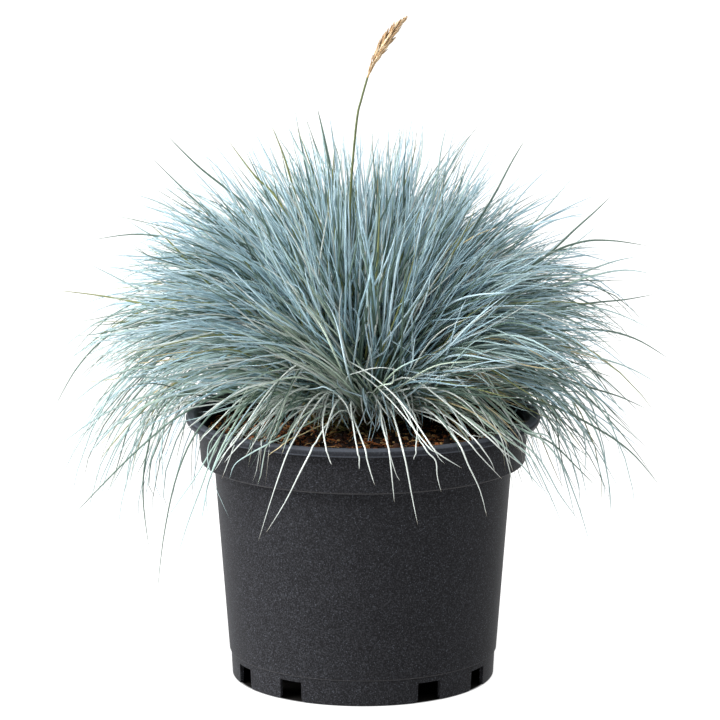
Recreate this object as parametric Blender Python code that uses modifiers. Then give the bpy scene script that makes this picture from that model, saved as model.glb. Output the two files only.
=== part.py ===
# Potted blue fescue clump: a tufted grass growing in a three-litre nursery pot.
# Metres, +Z up. The origin is the centre of the circle that the pot stands on.

import math
import random

import bmesh
import bpy
from mathutils import Vector, noise

GAP = 0.0003  # clearance between pieces that touch

# Nursery pot
POT_TURNS = 54
POT_HEIGHT = 0.143
LIP_RADIUS = 0.095
LIP_INNER_RADIUS = 0.0895
LIP_UNDERSIDE = 0.1388
COLLAR_TOP_RADIUS = 0.0883
COLLAR_BOTTOM_RADIUS = 0.0869
COLLAR_BOTTOM = 0.1177
BODY_TOP_RADIUS = 0.0799
BODY_BOTTOM_RADIUS = 0.0721
SKIRT_TOP = 0.0143
SKIRT_TOP_RADIUS = 0.0713
FOOT_RADIUS = 0.0706
WALL = 0.0018
FLOOR_TOP = 0.0162
FLOOR_UNDERSIDE = 0.0142
EDGE_ROUND = 0.001
FOOT_ROUND = 0.0005
NOTCH_WIDTH = 0.0132
NOTCH_HEIGHT = 0.0110
NOTCH_DEPTH = 0.016
NOTCH_TURNS = (31, 61, 119, 149)  # degrees from the pot's front, the same on both sides
POT_TURNED = math.radians(-1.6)  # how far the pot stands turned, to the left
DRAIN_RADIUS = 0.0055
DRAIN_CIRCLE = 0.042
DRAIN_COUNT = 6

# Soil and crown
SOIL_TURNS = 27
SOIL_TOP = 0.1355
SOIL_EDGE = 0.127
SOIL_LUMP = 0.0016
SOIL_SURFACE = (  # distance from the axis and height over SOIL_TOP, from the middle to where it falls
    (0.0, 0.0),
    (0.041, 0.0),
    (0.049, 0.0005),
    (0.057, 0.0005),
    (0.065, 0.0),
    (0.072, -0.0010),
    (0.078, -0.0030),
)
CROWN_TURNS = 24
CROWN_RADIUS = 0.0385
CROWN_TOP = 0.1425
CROWN_FALL = 0.005  # how far the dome drops at the outermost leaf bases

# Leaves: each follows one arc from the crown, set by its lean from upright
LEAF_CENTRE = 0.150  # height of the middle of the ball of leaf tips
LEAF_REACH = 0.166  # from there to the tip of the longest leaves
TUFT_REACH = 0.97  # the share of that reach that the tufts have
MOST_LEAN = math.radians(126)
BASE_SPREAD = 0.034  # distance of the outermost leaf bases from the axis
LOWEST_START = math.radians(50)  # the slope at which the lowest leaves leave the crown
TIP_FALL = math.radians(172)  # how far a leaf's tip turns from upright at the most lean
LOCK_SHARE = 0.33  # the share of its length along which a tuft's leaves are fused
LOCK_START = 0.12  # the share at which the lock has its full number of sides, clear of its neighbours
LOCK_SIDES = 6
MOST_LOCK_HALF_WIDTH = 0.0056
LOCK_WIDENING = 0.014
LEAF_HALF_WIDTHS = (0.0014, 0.0009)
SPREAD_IN_LEAN = 0.52  # the share of its room that a tuft's leaf tips spread over, up and down
SPREAD_IN_TURN = 0.70  # and the share to each side
FRONT_TURN = math.radians(-90)
FRONT_THINNED = math.radians(50)  # the front low tufts have fewer and shorter leaves
FRONT_SHORTENED = 0.8
FRONT_NARROWED = 0.6
AIMS = (0.75, 1.0)  # the shares of its spread at which a tuft's leaves end
GROWN = (0.88, 1.0)  # the shares of their arc that they have grown

# Rings of tufts: lean from, lean to (degrees), count, turn of the first (degrees), half width at the base
TUFT_RINGS = (
    (0, 24, 3, 78, 0.0018),
    (24, 44, 8, 12, 0.0019),
    (44, 66, 10, 0, 0.0022),
    (66, 92, 12, 15, 0.0024),
    (92, 126, 12, 15, 0.0026),
)

# Single long leaves between the rings of tufts: turn and lean in degrees, and the share of the arc grown
LONG_LEAVES = (
    (0, 92.5, 1.0),
    (90, 92.5, 1.0),
    (180, 92.5, 1.0),
    (-90, 92.5, 1.0),
    (180, 69, 1.0),
    (210, 128, 0.96),
    (-30, 128, 0.94),
    (30, 69, 1.0),
)
LONG_LEAF_RADIUS = 0.0006
LONG_LEAF_POINTS = 9

# Flower stem and head: the route is a list of points chosen by hand
STEM_RADIUS = 0.0006
STEM_ROUTE = (
    (-0.0012, -0.0058, 0.1432),
    (-0.0022, -0.0078, 0.165),
    (-0.0038, -0.0120, 0.190),
    (-0.0055, -0.0165, 0.210),
    (-0.0067, -0.0205, 0.226),
    (-0.0071, -0.0245, 0.247),
    (-0.0061, -0.0290, 0.273),
    (-0.0032, -0.0330, 0.305),
    (-0.0008, -0.0342, 0.316),
    (0.0023, -0.0350, 0.327),
)
HEAD_ROUTE = (
    (0.0025, -0.0350, 0.3274),
    (0.0057, -0.0352, 0.3378),
    (0.0119, -0.0354, 0.3451),
    (0.0176, -0.0355, 0.3515),
    (0.0228, -0.0355, 0.3582),
)
HEAD_SIDES = 6
HEAD_BANDS = 12
HEAD_AXIS_RADIUS = 0.0009
SPIKELET_LENGTH = 0.0062
SPIKELET_STEPS = ((0.0006, 0.30, 1.0), (0.0005, 0.35, 0.8))  # metres outwards, share onwards, widening
SPIKELET_TIP = 0.35  # the share of its length that its point has
SPIKELET_SHORTER = 0.35  # how much smaller the last spikelets are than the first


def clear_scene():
    for obj in list(bpy.data.objects):
        bpy.data.objects.remove(obj, do_unlink=True)


def new_collection(name):
    collection = bpy.data.collections.new(name)
    bpy.context.scene.collection.children.link(collection)
    return collection


def finish(name, colour, roughness):
    """A plain material of this colour and roughness."""
    material = bpy.data.materials.new(name)
    material.use_nodes = True
    shader = material.node_tree.nodes["Principled BSDF"]
    shader.inputs["Base Color"].default_value = (*colour, 1.0)
    shader.inputs["Roughness"].default_value = roughness
    shader.inputs["Metallic"].default_value = 0.0
    return material


def place(name, data, material, collection, parent):
    obj = bpy.data.objects.new(name, data)
    collection.objects.link(obj)
    obj.data.materials.append(material)
    obj.parent = parent
    return obj


def mesh_from(bm, name, smooth_angle=None):
    """A mesh of this bmesh with its faces turned outwards, smooth below the angle."""
    bmesh.ops.recalc_face_normals(bm, faces=bm.faces)
    mesh = bpy.data.meshes.new(name)
    bm.to_mesh(mesh)
    bm.free()
    if smooth_angle is not None:
        mesh.shade_smooth()
        mesh.set_sharp_from_angle(angle=smooth_angle)
    return mesh


def outline_mesh(name, outline):
    """The open outline, as (distance from the axis, height) points, in the XZ plane."""
    mesh = bpy.data.meshes.new(name)
    points = [(radius, 0.0, height) for radius, height in outline]
    mesh.from_pydata(points, [(i, i + 1) for i in range(len(points) - 1)], [])
    return mesh


def turn_outline(obj, turns):
    screw = obj.modifiers.new("turned", "SCREW")
    screw.axis = "Z"
    screw.angle = math.tau
    screw.steps = turns
    screw.render_steps = turns
    screw.use_merge_vertices = True
    screw.merge_threshold = 0.00001
    screw.use_smooth_shade = True


def cut(obj, cutter):
    boolean = obj.modifiers.new("cut_by_" + cutter.name, "BOOLEAN")
    boolean.operation = "DIFFERENCE"
    boolean.solver = "EXACT"
    boolean.object = cutter


def as_cutter(obj):
    obj.hide_render = True
    obj.display_type = "WIRE"


def pot_outline():
    """The pot's section, from the middle of the floor up the inside, over the lip and down the outside."""
    foot_inner = FOOT_RADIUS - WALL
    inner_shelf = COLLAR_BOTTOM + WALL
    return (
        (0.0, FLOOR_TOP),
        (BODY_BOTTOM_RADIUS - WALL, FLOOR_TOP),
        (BODY_TOP_RADIUS - WALL, COLLAR_BOTTOM),
        (COLLAR_BOTTOM_RADIUS - WALL, inner_shelf),
        (COLLAR_TOP_RADIUS - WALL, LIP_UNDERSIDE),
        (LIP_INNER_RADIUS, POT_HEIGHT - EDGE_ROUND),
        (LIP_INNER_RADIUS + 2 * EDGE_ROUND, POT_HEIGHT),
        (LIP_RADIUS - EDGE_ROUND, POT_HEIGHT - EDGE_ROUND),
        (LIP_RADIUS, POT_HEIGHT - 3 * EDGE_ROUND),
        (LIP_RADIUS - EDGE_ROUND, LIP_UNDERSIDE),
        (COLLAR_TOP_RADIUS, LIP_UNDERSIDE - 2 * EDGE_ROUND),
        (COLLAR_BOTTOM_RADIUS, COLLAR_BOTTOM + EDGE_ROUND),
        (COLLAR_BOTTOM_RADIUS - EDGE_ROUND, COLLAR_BOTTOM),
        (BODY_TOP_RADIUS, COLLAR_BOTTOM),
        (BODY_BOTTOM_RADIUS, SKIRT_TOP),
        (SKIRT_TOP_RADIUS, SKIRT_TOP - EDGE_ROUND),
        (FOOT_RADIUS, FOOT_ROUND),
        (FOOT_RADIUS - FOOT_ROUND, 0.0),
        (foot_inner, 0.0),
        (foot_inner, FLOOR_UNDERSIDE),
        (0.0, FLOOR_UNDERSIDE),
    )


def notch_cutter():
    """A block that cuts one drainage notch through the skirt, from below."""
    bm = bmesh.new()
    bmesh.ops.create_cube(bm, size=1.0)
    bmesh.ops.scale(bm, vec=(NOTCH_DEPTH, NOTCH_WIDTH, 2 * NOTCH_HEIGHT), verts=bm.verts)
    return mesh_from(bm, "notch")


def drain_cutter():
    bm = bmesh.new()
    bmesh.ops.create_cone(
        bm,
        cap_ends=True,
        segments=12,
        radius1=DRAIN_RADIUS,
        radius2=DRAIN_RADIUS,
        depth=6 * WALL,
    )
    return mesh_from(bm, "drain")


def make_pot(collection, cutters, parent):
    material = finish("charcoal plastic", (0.035, 0.036, 0.040), 0.55)
    pot = place("nursery_pot", outline_mesh("nursery_pot", pot_outline()), material, collection, parent)
    turn_outline(pot, POT_TURNS)
    for side in (-1, 1):
        for angle in NOTCH_TURNS:
            turn = FRONT_TURN + POT_TURNED + side * math.radians(angle)
            notch = place(f"notch_{side * angle}", notch_cutter(), material, cutters, parent)
            notch.location = (FOOT_RADIUS * math.cos(turn), FOOT_RADIUS * math.sin(turn), 0.0)
            notch.rotation_euler = (0.0, 0.0, turn)
            as_cutter(notch)
            cut(pot, notch)
    for index in range(DRAIN_COUNT):
        turn = math.tau * index / DRAIN_COUNT
        drain = place(f"drain_{index + 1}", drain_cutter(), material, cutters, parent)
        drain.location = (DRAIN_CIRCLE * math.cos(turn), DRAIN_CIRCLE * math.sin(turn), FLOOR_TOP)
        as_cutter(drain)
        cut(pot, drain)


def soil_outline():
    """The soil's section: flat under the crown, a loose top, a fallen edge, then down the pot's wall."""
    facet = math.cos(math.pi / POT_TURNS)  # the pot's flat facets stand this much inside its radius
    body_top = (BODY_TOP_RADIUS - WALL) * facet - GAP
    body_bottom = (BODY_BOTTOM_RADIUS - WALL) * facet - GAP
    collar = (COLLAR_BOTTOM_RADIUS - WALL) * facet - GAP
    surface = [(spread, SOIL_TOP + over) for spread, over in SOIL_SURFACE]
    return (
        *surface,
        (collar - 0.0010, SOIL_EDGE),
        (collar, SOIL_EDGE - 0.0020),
        (collar, COLLAR_BOTTOM + WALL + 2 * GAP),
        (body_top, COLLAR_BOTTOM + GAP),
        (body_bottom, FLOOR_TOP + GAP),
        (0.0, FLOOR_TOP + GAP),
    )


def make_soil(collection, parent):
    material = finish("peat and coir", (0.060, 0.032, 0.018), 0.95)
    guide = place("soil_guide", outline_mesh("soil_guide", soil_outline()), material, collection, parent)
    turn_outline(guide, SOIL_TURNS)
    turned = guide.evaluated_get(bpy.context.evaluated_depsgraph_get())
    mesh = bpy.data.meshes.new_from_object(turned)
    bpy.data.objects.remove(guide, do_unlink=True)
    for vertex in mesh.vertices:
        spread = math.hypot(vertex.co.x, vertex.co.y)
        if vertex.co.z > SOIL_EDGE and spread > CROWN_RADIUS + 0.004:
            vertex.co.z += SOIL_LUMP * noise.noise(vertex.co * 90.0)
    place("potting_soil", mesh, material, collection, parent)


def crown_height(spread):
    """Height of the crown's dome at this distance from the axis."""
    return CROWN_TOP - CROWN_FALL * (spread / BASE_SPREAD) ** 2


def make_crown(collection, parent):
    material = finish("old leaf bases", (0.20, 0.17, 0.075), 0.85)
    rings = [CROWN_RADIUS * share for share in (0.0, 0.3, 0.55, 0.78, 1.0)]
    outline = [(spread, crown_height(spread)) for spread in rings]
    outline += [(CROWN_RADIUS, SOIL_TOP + GAP), (0.0, SOIL_TOP + GAP)]
    crown = place("crown", outline_mesh("crown", outline), material, collection, parent)
    turn_outline(crown, CROWN_TURNS)


def leaf_arc(lean, share, reach=LEAF_REACH):
    """The point, as distance from the axis and height, at this share of the way along a leaf.

    A leaf is one cubic curve. The more it leans, the flatter it starts and the further its tip turns
    down, so that the leaves of one clump lie beside each other and never cross.
    """
    part = lean / MOST_LEAN
    start_slope = LOWEST_START + (math.pi / 2 - LOWEST_START) * (1 - part) ** 2
    tip_slope = math.pi / 2 - TIP_FALL * abs(part) ** 1.15
    base = Vector((BASE_SPREAD * part, CROWN_TOP - CROWN_FALL * part**2))
    tip = Vector((reach * math.sin(lean), LEAF_CENTRE + reach * math.cos(lean)))
    chord = (tip - base).length
    first = base + (0.45 + 0.35 * part**2) * chord * Vector((math.cos(start_slope), math.sin(start_slope)))
    last = tip - 0.36 * chord * Vector((math.cos(tip_slope), math.sin(tip_slope)))
    rest = 1 - share
    return (
        rest**3 * base
        + 3 * share * rest**2 * first
        + 3 * share**2 * rest * last
        + share**3 * tip
    )


def leaf_point(lean, turn, share, reach=LEAF_REACH):
    spread, height = leaf_arc(lean, share, reach)
    return Vector((spread * math.cos(turn), spread * math.sin(turn), height))


def leaf_frame(lean, turn, share, reach=LEAF_REACH):
    """The leaf's point there, with the directions across it: to its side, and towards more lean."""
    step = 0.01
    here = leaf_point(lean, turn, share, reach)
    along = leaf_point(lean, turn, share + step, reach) - leaf_point(lean, turn, share - step, reach)
    side = Vector((-math.sin(turn), math.cos(turn), 0.0))
    return here, side, side.cross(along.normalized())


def set_ring(verts, frame, half_width):
    """Moves these corners to a ring of this half width, each in the direction that it has now."""
    here, side, down = frame
    middle = sum((v.co for v in verts), Vector()) / len(verts)
    for v in verts:
        out = v.co - middle
        flat = Vector((out.dot(side), out.dot(down))).normalized()
        v.co = here + half_width * (flat.x * side + flat.y * down)


def extrude_cap(bm, faces, keep_base):
    """Extrudes the fan of faces as one and returns the moved fan. The first one leaves its base behind."""
    geometry = list(faces) + list(dict.fromkeys(e for f in faces for e in f.edges))
    result = bmesh.ops.extrude_face_region(bm, geom=geometry, use_keep_orig=keep_base)
    if not keep_base:
        old = [f for f in faces if f.is_valid]
        bmesh.ops.delete(bm, geom=old, context="FACES")
    return [item for item in result["geom"] if isinstance(item, bmesh.types.BMFace)]


def grow_leaf(bm, face, lean, turn, aim_lean, aim_turn, last_share, reach):
    """Grows one leaf out of a face of the tuft's end: two thinner rings, then the tip."""
    face.normal_update()
    for step, half_width in enumerate(LEAF_HALF_WIDTHS, start=1):
        onward = step / (len(LEAF_HALF_WIDTHS) + 1)
        share = LOCK_SHARE + (last_share - LOCK_SHARE) * onward
        spread = 0.35 + 0.65 * onward
        frame = leaf_frame(
            lean + (aim_lean - lean) * spread, turn + (aim_turn - turn) * spread, share, reach
        )
        face = bmesh.ops.extrude_discrete_faces(bm, faces=[face])["faces"][0]
        set_ring(list(face.verts), frame, half_width)
    tip = bmesh.ops.poke(bm, faces=[face])["verts"][0]
    tip.co = leaf_point(aim_lean, aim_turn, last_share, reach)


def tuft_mesh(name, lean, turn, room, base_half_width, thinned, rng):
    """A tuft: leaves fused in one lock at the crown, which parts into single leaves.

    room is the half of the tuft's share of the clump, in lean and in turn.
    """
    room_lean, room_turn = room
    reach = LEAF_REACH * TUFT_REACH
    bm = bmesh.new()
    bmesh.ops.create_circle(bm, cap_ends=True, cap_tris=True, segments=LOCK_SIDES, radius=1.0)
    foot, side, _ = leaf_frame(lean, turn, 0.0, reach)
    away = Vector((math.cos(turn), math.sin(turn), 0.0))
    for v in bm.verts:
        flat = v.co.copy()
        v.co = foot + base_half_width * (flat.x * side + flat.y * away)
        v.co.z = crown_height(math.hypot(v.co.x, v.co.y)) + GAP
    faces = list(bm.faces)
    for share in (LOCK_START, LOCK_SHARE):
        frame = leaf_frame(lean, turn, share, reach)
        spread = leaf_arc(lean, share, reach)[0]
        wide = min(MOST_LOCK_HALF_WIDTH, 0.6 * spread * room_turn, base_half_width + LOCK_WIDENING * share)
        if thinned:
            wide *= FRONT_NARROWED
        faces = extrude_cap(bm, faces, keep_base=share < LOCK_SHARE)
        verts = list(dict.fromkeys(v for f in faces for v in f.verts))
        middle = max(verts, key=lambda v: len([f for f in v.link_faces if f in faces]))
        verts.remove(middle)
        set_ring(verts, frame, wide)
        middle.co = frame[0]
    for index, face in enumerate(faces):
        if thinned and index % 2:
            continue
        here, side, down = leaf_frame(lean, turn, LOCK_SHARE, reach)
        out = face.calc_center_median() - here
        angle = math.atan2(out.dot(down), out.dot(side))
        aim_lean = lean + SPREAD_IN_LEAN * room_lean * math.sin(angle) * rng.uniform(*AIMS)
        aim_turn = turn + SPREAD_IN_TURN * room_turn * math.cos(angle) * rng.uniform(*AIMS)
        last_share = rng.uniform(*GROWN)
        if thinned:
            last_share *= FRONT_SHORTENED
        grow_leaf(bm, face, lean, turn, aim_lean, aim_turn, last_share, reach)
    return mesh_from(bm, name)


def make_tufts(collection, parent):
    rng = random.Random(7)
    material = finish("blue leaf", (0.30, 0.42, 0.45), 0.6)
    number = 0
    for low, high, count, first, base_half_width in TUFT_RINGS:
        lean = math.radians(low + high) / 2
        room = (math.radians(high - low) / 2, math.pi / count)
        for index in range(count):
            turn = math.radians(first) + math.tau * index / count
            from_front = abs((turn - FRONT_TURN + math.pi) % math.tau - math.pi)
            thinned = lean > math.pi / 2 and from_front < FRONT_THINNED
            number += 1
            name = f"tuft_{number:02d}"
            mesh = tuft_mesh(name, lean, turn, room, base_half_width, thinned, rng)
            place(name, mesh, material, collection, parent)


def tapered_tube(name, points, radii, sides_level, material, collection, parent):
    """A round tube along the points, with a radius of its own at each."""
    curve = bpy.data.curves.new(name, "CURVE")
    curve.dimensions = "3D"
    curve.bevel_depth = 1.0
    curve.bevel_resolution = sides_level
    curve.use_fill_caps = True
    spline = curve.splines.new("POLY")
    spline.points.add(len(points) - 1)
    for knot, point, radius in zip(spline.points, points, radii):
        knot.co = (*point, 1.0)
        knot.radius = radius
    return place(name, curve, material, collection, parent)


def make_long_leaves(collection, parent):
    material = finish("long blue leaf", (0.27, 0.37, 0.38), 0.6)
    for number, (turn, lean, grown) in enumerate(LONG_LEAVES, start=1):
        shares = [i / (LONG_LEAF_POINTS - 1) for i in range(LONG_LEAF_POINTS)]
        points = [leaf_point(math.radians(lean), math.radians(turn), grown * share) for share in shares]
        points[0].z += LONG_LEAF_RADIUS + GAP
        radii = [LONG_LEAF_RADIUS * (1.0 - 0.85 * share**2) for share in shares]
        tapered_tube(f"leaf_{number:02d}", points, radii, 1, material, collection, parent)


def make_stem(collection, parent):
    material = finish("olive stem", (0.17, 0.19, 0.075), 0.5)
    points = [Vector(point) for point in STEM_ROUTE]
    radii = [STEM_RADIUS] * len(points)
    tapered_tube("flower_stem", points, radii, 2, material, collection, parent)


def head_frame(share):
    """The point at this share of the flower head's axis, with its three directions."""
    points = [Vector(point) for point in HEAD_ROUTE]
    place_along = share * (len(points) - 1)
    index = min(int(place_along), len(points) - 2)
    here = points[index].lerp(points[index + 1], place_along - index)
    along = (points[index + 1] - points[index]).normalized()
    side = along.cross(Vector((0.0, 1.0, 0.0))).normalized()
    return here, along, side, along.cross(side)


def make_flower_head(collection, parent):
    """A narrow panicle: an axis of short bands, with spikelets grown out of alternate sides."""
    material = finish("straw flower head", (0.52, 0.36, 0.20), 0.75)
    bm = bmesh.new()
    bmesh.ops.create_cone(
        bm,
        cap_ends=True,
        segments=HEAD_SIDES,
        radius1=1.0,
        radius2=1.0,
        depth=1.0,
    )
    bmesh.ops.subdivide_edges(
        bm,
        edges=[e for e in bm.edges if abs(e.verts[0].co.z - e.verts[1].co.z) > 0.5],
        cuts=HEAD_BANDS - 1,
        use_grid_fill=True,
    )
    bands = {}
    for face in bm.faces:
        middle = face.calc_center_median()
        if math.hypot(middle.x, middle.y) > 0.5:
            band = int((middle.z + 0.5) * HEAD_BANDS)
            number = round(math.atan2(middle.y, middle.x) / math.tau * HEAD_SIDES) % HEAD_SIDES
            bands[band, number] = face
    for v in bm.verts:
        share = v.co.z + 0.5
        here, _, side, depth = head_frame(share)
        radius = HEAD_AXIS_RADIUS * (1.0 - 0.6 * share)
        v.co = here + radius * (v.co.x * side + v.co.y * depth)
    for band in range(HEAD_BANDS):
        share = (band + 0.5) / HEAD_BANDS
        along = head_frame(share)[1]
        size = 1.0 - SPIKELET_SHORTER * share
        for start in (0, 3):
            grow_spikelet(bm, bands[band, (2 * band + start) % HEAD_SIDES], along, size)
    place("flower_head", mesh_from(bm, "flower_head"), material, collection, parent)


def grow_spikelet(bm, face, along, size):
    """Grows one spikelet out of a side of the axis: it bulges, narrows and ends in a point."""
    bm.normal_update()
    out = face.normal.copy()
    length = SPIKELET_LENGTH * size
    for outwards, onwards, widen in SPIKELET_STEPS:
        face = bmesh.ops.extrude_discrete_faces(bm, faces=[face])["faces"][0]
        middle = face.calc_center_median()
        shift = size * outwards * out + onwards * length * along
        for v in face.verts:
            apart = v.co - middle
            lengthwise = apart.dot(along) * along
            v.co = middle + shift + widen * (0.55 * lengthwise + (apart - lengthwise))
    tip = bmesh.ops.poke(bm, faces=[face])["verts"][0]
    tip.co += SPIKELET_TIP * length * along


def main():
    clear_scene()
    collection = new_collection("potted_blue_fescue")
    cutters = new_collection("cutters")
    stand = bpy.data.objects.new("stand", None)
    collection.objects.link(stand)
    make_pot(collection, cutters, stand)
    make_soil(collection, stand)
    make_crown(collection, stand)
    make_tufts(collection, stand)
    make_long_leaves(collection, stand)
    make_stem(collection, stand)
    make_flower_head(collection, stand)


main()
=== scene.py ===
import math

import bmesh
import bpy
import numpy as np
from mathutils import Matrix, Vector, noise


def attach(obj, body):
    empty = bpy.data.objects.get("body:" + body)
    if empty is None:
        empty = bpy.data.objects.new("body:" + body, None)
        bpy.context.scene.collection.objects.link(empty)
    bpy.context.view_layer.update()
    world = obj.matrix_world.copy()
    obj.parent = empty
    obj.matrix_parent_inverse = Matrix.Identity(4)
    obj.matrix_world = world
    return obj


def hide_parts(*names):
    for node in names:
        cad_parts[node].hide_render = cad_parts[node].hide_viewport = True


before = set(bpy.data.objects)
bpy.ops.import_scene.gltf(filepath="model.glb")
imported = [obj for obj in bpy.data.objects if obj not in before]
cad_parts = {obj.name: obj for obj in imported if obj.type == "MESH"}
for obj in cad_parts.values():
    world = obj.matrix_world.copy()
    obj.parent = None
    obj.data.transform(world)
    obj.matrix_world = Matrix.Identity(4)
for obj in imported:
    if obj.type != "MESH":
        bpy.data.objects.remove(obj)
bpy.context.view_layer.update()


# Nursery pot. A three-litre pot of charcoal plastic, injection moulded in one piece: a tapering body under
# a deep collar and a rolled lip, and a skirt with drainage notches below its raised floor. Recycled plastic
# gives it a matt face with fine grey flecks.

POT_TURNS = 180
POT_HEIGHT = 0.143
WALL = 0.0018
LIP_RADIUS = 0.095
LIP_UNDERSIDE = 0.1388
COLLAR_TOP_RADIUS = 0.0883
COLLAR_BOTTOM_RADIUS = 0.0869
COLLAR_BOTTOM = 0.1177
BODY_TOP_RADIUS = 0.0799
BODY_BOTTOM_RADIUS = 0.0721
SKIRT_TOP = 0.0143
SKIRT_TOP_RADIUS = 0.0713
FOOT_RADIUS = 0.0706
FLOOR_TOP = 0.0162
FLOOR_UNDERSIDE = 0.0142
NOTCH_WIDTH = 0.0132
NOTCH_HEIGHT = 0.0110
NOTCH_DEPTH = 0.016
NOTCH_FLARE = 0.0022
NOTCH_TURNS = (31, 61, 119, 149)  # degrees from the pot's front, the same on both sides
POT_TURNED = -1.6  # degrees that the pot stands turned, to the left
DRAIN_RADIUS = 0.0055
DRAIN_CIRCLE = 0.042
DRAIN_COUNT = 6
CORNER_STEPS = 5
SHARP_ANGLE = 35.0  # an edge with more degrees than this between its faces stays sharp
NEVER_SHARP = 180.0
CREST_HIGHLIGHT_STARTS, CREST_HIGHLIGHT_FULL = 0.1416, 0.1422  # heights between which a painted highlight along the lip's crest grows

# The section from the middle of the floor up the inside, over the lip and down the outside:
# distance from the axis, height, and the radius that the corner is rounded to.
POT_SECTION = (
    (0.0, FLOOR_TOP, 0.0),
    (BODY_BOTTOM_RADIUS - WALL, FLOOR_TOP, 0.002),
    (BODY_TOP_RADIUS - WALL, COLLAR_BOTTOM, 0.001),
    (COLLAR_BOTTOM_RADIUS - WALL, COLLAR_BOTTOM + WALL, 0.001),
    (COLLAR_TOP_RADIUS - WALL, LIP_UNDERSIDE, 0.001),
    (0.0893, 0.1423, 0.0006),
    (0.0905, POT_HEIGHT, 0.0007),
    (0.0936, 0.1427, 0.0010),
    (LIP_RADIUS, 0.1412, 0.0012),
    (0.0943, LIP_UNDERSIDE, 0.0006),
    (COLLAR_TOP_RADIUS, 0.1381, 0.0008),
    (COLLAR_BOTTOM_RADIUS, COLLAR_BOTTOM, 0.0009),
    (BODY_TOP_RADIUS, COLLAR_BOTTOM + 0.0003, 0.0008),
    (BODY_BOTTOM_RADIUS, SKIRT_TOP, 0.0003),
    (SKIRT_TOP_RADIUS, SKIRT_TOP - 0.0004, 0.0002),
    (FOOT_RADIUS, 0.0, 0.0009),
    (FOOT_RADIUS - WALL, 0.0, 0.0006),
    (FOOT_RADIUS - WALL, FLOOR_UNDERSIDE, 0.001),
    (0.0, FLOOR_UNDERSIDE, 0.0),
)


def rounded_section(corners):
    """The section's points, each rounded corner as an arc of a few steps."""
    points = []
    for index, (radius, height, rounding) in enumerate(corners):
        here = Vector((radius, height))
        if rounding == 0.0:
            points.append(here)
            continue
        before = (Vector(corners[index - 1][:2]) - here).normalized()
        after = (Vector(corners[index + 1][:2]) - here).normalized()
        half_corner = before.angle(after) / 2
        start = here + before * rounding / math.tan(half_corner)
        middle = here + (before + after).normalized() * rounding / math.sin(half_corner)
        sweep = math.pi - 2 * half_corner
        turning = 1.0 if before.x * after.y - before.y * after.x < 0 else -1.0
        out = start - middle
        for step in range(CORNER_STEPS + 1):
            angle = turning * sweep * step / CORNER_STEPS
            cosine, sine = math.cos(angle), math.sin(angle)
            points.append(middle + Vector((out.x * cosine - out.y * sine, out.x * sine + out.y * cosine)))
    return points


def turned_bmesh(section, turns):
    """The section swept once round the axis, closed where it meets the axis at both ends."""
    bm = bmesh.new()
    rings = []
    for point in section:
        if point.x < 1e-9:
            rings.append([bm.verts.new((0.0, 0.0, point.y))] * turns)
            continue
        angles = [math.tau * turn / turns for turn in range(turns)]
        rings.append([bm.verts.new((point.x * math.cos(a), point.x * math.sin(a), point.y)) for a in angles])
    for lower, upper in zip(rings, rings[1:]):
        for turn in range(turns):
            onward = (turn + 1) % turns
            corners = (lower[turn], upper[turn], upper[onward], lower[onward])
            bm.faces.new(dict.fromkeys(corners))
    bmesh.ops.recalc_face_normals(bm, faces=bm.faces)
    return bm


def placed(name, data):
    """A new object in the scene."""
    made = bpy.data.objects.new(name, data)
    bpy.context.scene.collection.objects.link(made)
    return made


def piece_from(bm, name, sharp_angle=SHARP_ANGLE):
    mesh = bpy.data.meshes.new(name)
    bm.to_mesh(mesh)
    bm.free()
    mesh.shade_smooth()
    mesh.set_sharp_from_angle(angle=math.radians(sharp_angle))
    return placed(name, mesh)


def notch_form():
    """The eight notches' cutter: upright slots whose lower corners flare out."""
    bm = bmesh.new()
    half = NOTCH_WIDTH / 2
    flare = [
        (half + NOTCH_FLARE * (1 - math.cos(a)), NOTCH_FLARE * (1 - math.sin(a)))
        for a in (0.0, math.pi / 8, math.pi / 4, 3 * math.pi / 8, math.pi / 2)
    ]
    side = [(half, NOTCH_HEIGHT), *flare, (half + NOTCH_FLARE, -NOTCH_FLARE)]
    outline = side + [(-across, height) for across, height in reversed(side)]
    for sign in (-1, 1):
        for angle in NOTCH_TURNS:
            turn = math.radians(sign * angle + POT_TURNED - 90)
            outwards = Vector((math.cos(turn), math.sin(turn), 0.0))
            across = Vector((-math.sin(turn), math.cos(turn), 0.0))
            inner = outwards * (FOOT_RADIUS - NOTCH_DEPTH / 2)
            verts = [bm.verts.new(inner + across * x + Vector((0.0, 0.0, z))) for x, z in outline]
            face = bm.faces.new(verts)
            slot = bmesh.ops.extrude_face_region(bm, geom=[face])["geom"]
            moved = [v for v in slot if isinstance(v, bmesh.types.BMVert)]
            bmesh.ops.translate(bm, vec=outwards * NOTCH_DEPTH, verts=moved)
    bmesh.ops.recalc_face_normals(bm, faces=bm.faces)
    return bm


def drain_form():
    """The cutter for the ring of drainage holes in the floor."""
    bm = bmesh.new()
    for index in range(DRAIN_COUNT):
        turn = math.tau * index / DRAIN_COUNT
        hole = bmesh.ops.create_cone(
            bm, cap_ends=True, segments=24, radius1=DRAIN_RADIUS, radius2=DRAIN_RADIUS, depth=6 * WALL
        )
        where = (DRAIN_CIRCLE * math.cos(turn), DRAIN_CIRCLE * math.sin(turn), FLOOR_TOP)
        bmesh.ops.translate(bm, vec=where, verts=hole["verts"])
    return bm


def cut_by(piece, cutter):
    """Cuts the cutter's shape out of the piece, for good."""
    boolean = piece.modifiers.new("cut", "BOOLEAN")
    boolean.object = cutter
    boolean.solver = "EXACT"
    whole = bpy.data.meshes.new_from_object(piece.evaluated_get(bpy.context.evaluated_depsgraph_get()))
    piece.modifiers.clear()
    piece.data = whole
    bpy.data.objects.remove(cutter)


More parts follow.
